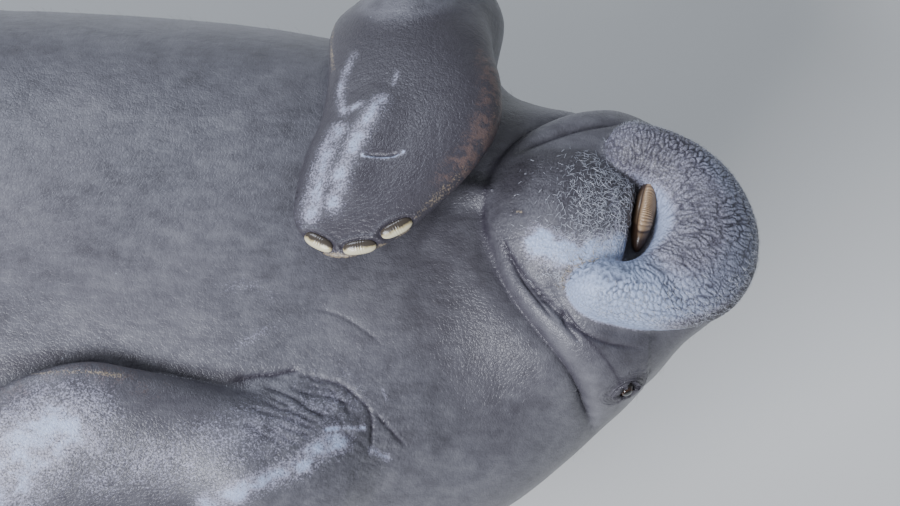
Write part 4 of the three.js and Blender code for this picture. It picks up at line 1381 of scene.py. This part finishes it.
def mouth_corner(p):
    h = to_head(p)
    gap = np.abs(chin(h) - from_measure(lip_measure, h))
    close = np.maximum(chin(h), from_measure(lip_measure, h)) < 9
    left = (h[:, 2] > 60) * (h[:, 1] < -35) * (h[:, 0] < 30) * (p[:, 0] > FACE_FROM)
    return (gap < 9) * close * left


def all_over(p):
    mouth = (p[:, 0] > FACE_FROM) & (to_head(p)[:, 2] > 0)
    return np.where(mouth, 0.0, 1.0) + 2 * fade(p[:, 0], 1200, 1400) * ~mouth


def no_way(p):
    return 0 * p


def outward_on_lip(p):
    away = to_head(p) - (45, 0, 60)
    away[:, 2] *= 0.2
    away /= np.linalg.norm(away, axis=1)[:, None]
    return 3.0 * (away @ TO_HEAD)


def to_tail(p):
    return 0 * p - (2, 0, 0)


# For each kind: where it grows, how many, length and half width in millimetres, how far it stands
# off the skin, the way it drifts, its horn and its map
for kind in [
    ("chin_bristles", chin_front, 1100, (5, 10), (0.2, 0.32), 0.2,
     no_way, white_bristle, unwrapped_head),
    ("chin_rear_bristles", chin_rear, 90, (3, 6), (0.2, 0.32), 0.3,
     no_way, white_bristle, unwrapped_head),
    ("lip_rim_bristles", lip_zone(1.9, 3.0), 1100, (4, 7), (0.16, 0.28), 0.45,
     outward_on_lip, white_bristle, unwrapped_head),
    ("lobe_bristles", lip_zone(1.3, 2.8, True), 420, (3.5, 6.5), (0.22, 0.36), 0.2,
     outward_on_lip, white_bristle, unwrapped_head),
    ("mouth_corner_bristles", mouth_corner, 46, (6, 10), (0.35, 0.5), 0.45,
     no_way, tan_bristle, unwrapped_head),
    ("body_hair", all_over, 1800, (8, 16), (0.1, 0.15), 0.5,
     to_tail, fine_hair, unwrapped),
]:
    strewn(*kind)

# Stand. A painted board and two brushed steel rods bear the still model, the rods let into the
# board and run up into its back.
# Painted board: eggshell paint rolled on dense board, so it is dull and faintly stippled
board_paint, tree, shader = new_material("painted_board", Roughness=0.55)
here = [("Vector", node(tree, "TexCoord"), "Object")]
stipple = node(tree, "TexNoise", here, Scale=420.0, Detail=2.0)
scuff = node(tree, "TexNoise", here, Scale=11.0, Detail=6.0)
paint = node(tree, "Mix", [("Factor", scuff, "Fac")], data_type="RGBA",
             A=colour("#2a2c2f"), B=colour("#3a3d41"))
raised = node(tree, "Bump", [("Height", stipple, "Fac")], Strength=0.25, Distance=0.0005)
drive(tree, shader, Base_Color=(paint, "Result"), Normal=(raised, "Normal"))

# Brushed stainless steel: fine rings of brushing, which spread its shine along the rod
brushed_steel, tree, shader = new_material(
    "brushed_stainless_steel", Base_Color=colour("#b9bcbf"), Metallic=1.0)
here = [("Vector", node(tree, "TexCoord"), "Object")]
drawn = node(tree, "Mapping", here, Scale=(6, 6, 1500))
lines = node(tree, "TexNoise", [("Vector", drawn, "Vector")], Scale=1.0, Detail=3.0)
dull = node(tree, "MapRange", [("Value", lines, "Fac")], To_Min=0.22, To_Max=0.42)
raised = node(tree, "Bump", [("Height", lines, "Fac")], Strength=0.2, Distance=0.0002)
drive(tree, shader, Roughness=(dull, "Result"), Normal=(raised, "Normal"))

for name, finish in (("stand_base", board_paint), ("stand_rod_front", brushed_steel),
                     ("stand_rod_rear", brushed_steel)):
    bpy.data.objects[name].data.materials.clear()
    bpy.data.objects[name].data.materials.append(finish)

# Floor. A plain pale studio floor that the stand's board rests on, wide enough to fill the frame
# from every side.
FLOOR_REACH = 8
floor = mesh_object("floor", [(x * FLOOR_REACH, y * FLOOR_REACH, 0)
                              for x, y in ((-1, -1), (1, -1), (1, 1), (-1, 1))],
                    [(0, 1, 2, 3)], smooth=False)
# Pale floor: matt painted board, which gives only soft shadows
pale_floor, tree, shader = new_material("pale_floor", Base_Color=colour("#d9d9d6"), Roughness=0.8)
floor.data.materials.append(pale_floor)

# Lights. An even pale surround fills the shadows, a wide soft key over the animal's left side gives
# the sheen, and a weaker one lights its right side.
world = bpy.data.worlds.new("studio")
bpy.context.scene.world = world
world.use_nodes = True
world.node_tree.nodes["Background"].inputs["Color"].default_value = colour("#dfe6ee")
world.node_tree.nodes["Background"].inputs["Strength"].default_value = 0.36


def area_light(name, at, target, size, power, tint):
    light = bpy.data.lights.new(name, "AREA")
    light.shape = "RECTANGLE"
    light.size, light.size_y = size
    light.energy = power
    light.color = colour(tint)[:3]
    lamp = bpy.data.objects.new(name, light)
    lamp.location = at
    lamp.rotation_mode = "QUATERNION"
    lamp.rotation_quaternion = (Vector(target) - Vector(at)).to_track_quat("-Z", "Y")
    bpy.context.scene.collection.objects.link(lamp)


area_light("key", (-0.7, -2.2, 3.2), (1.0, 0.0, 0.7), (2.4, 1.6), 235, "#f2f5ff")
area_light("sky", (-0.5, 2.1, 2.4), (1.0, 0.1, 0.7), (1.6, 1.2), 60, "#e6eeff")
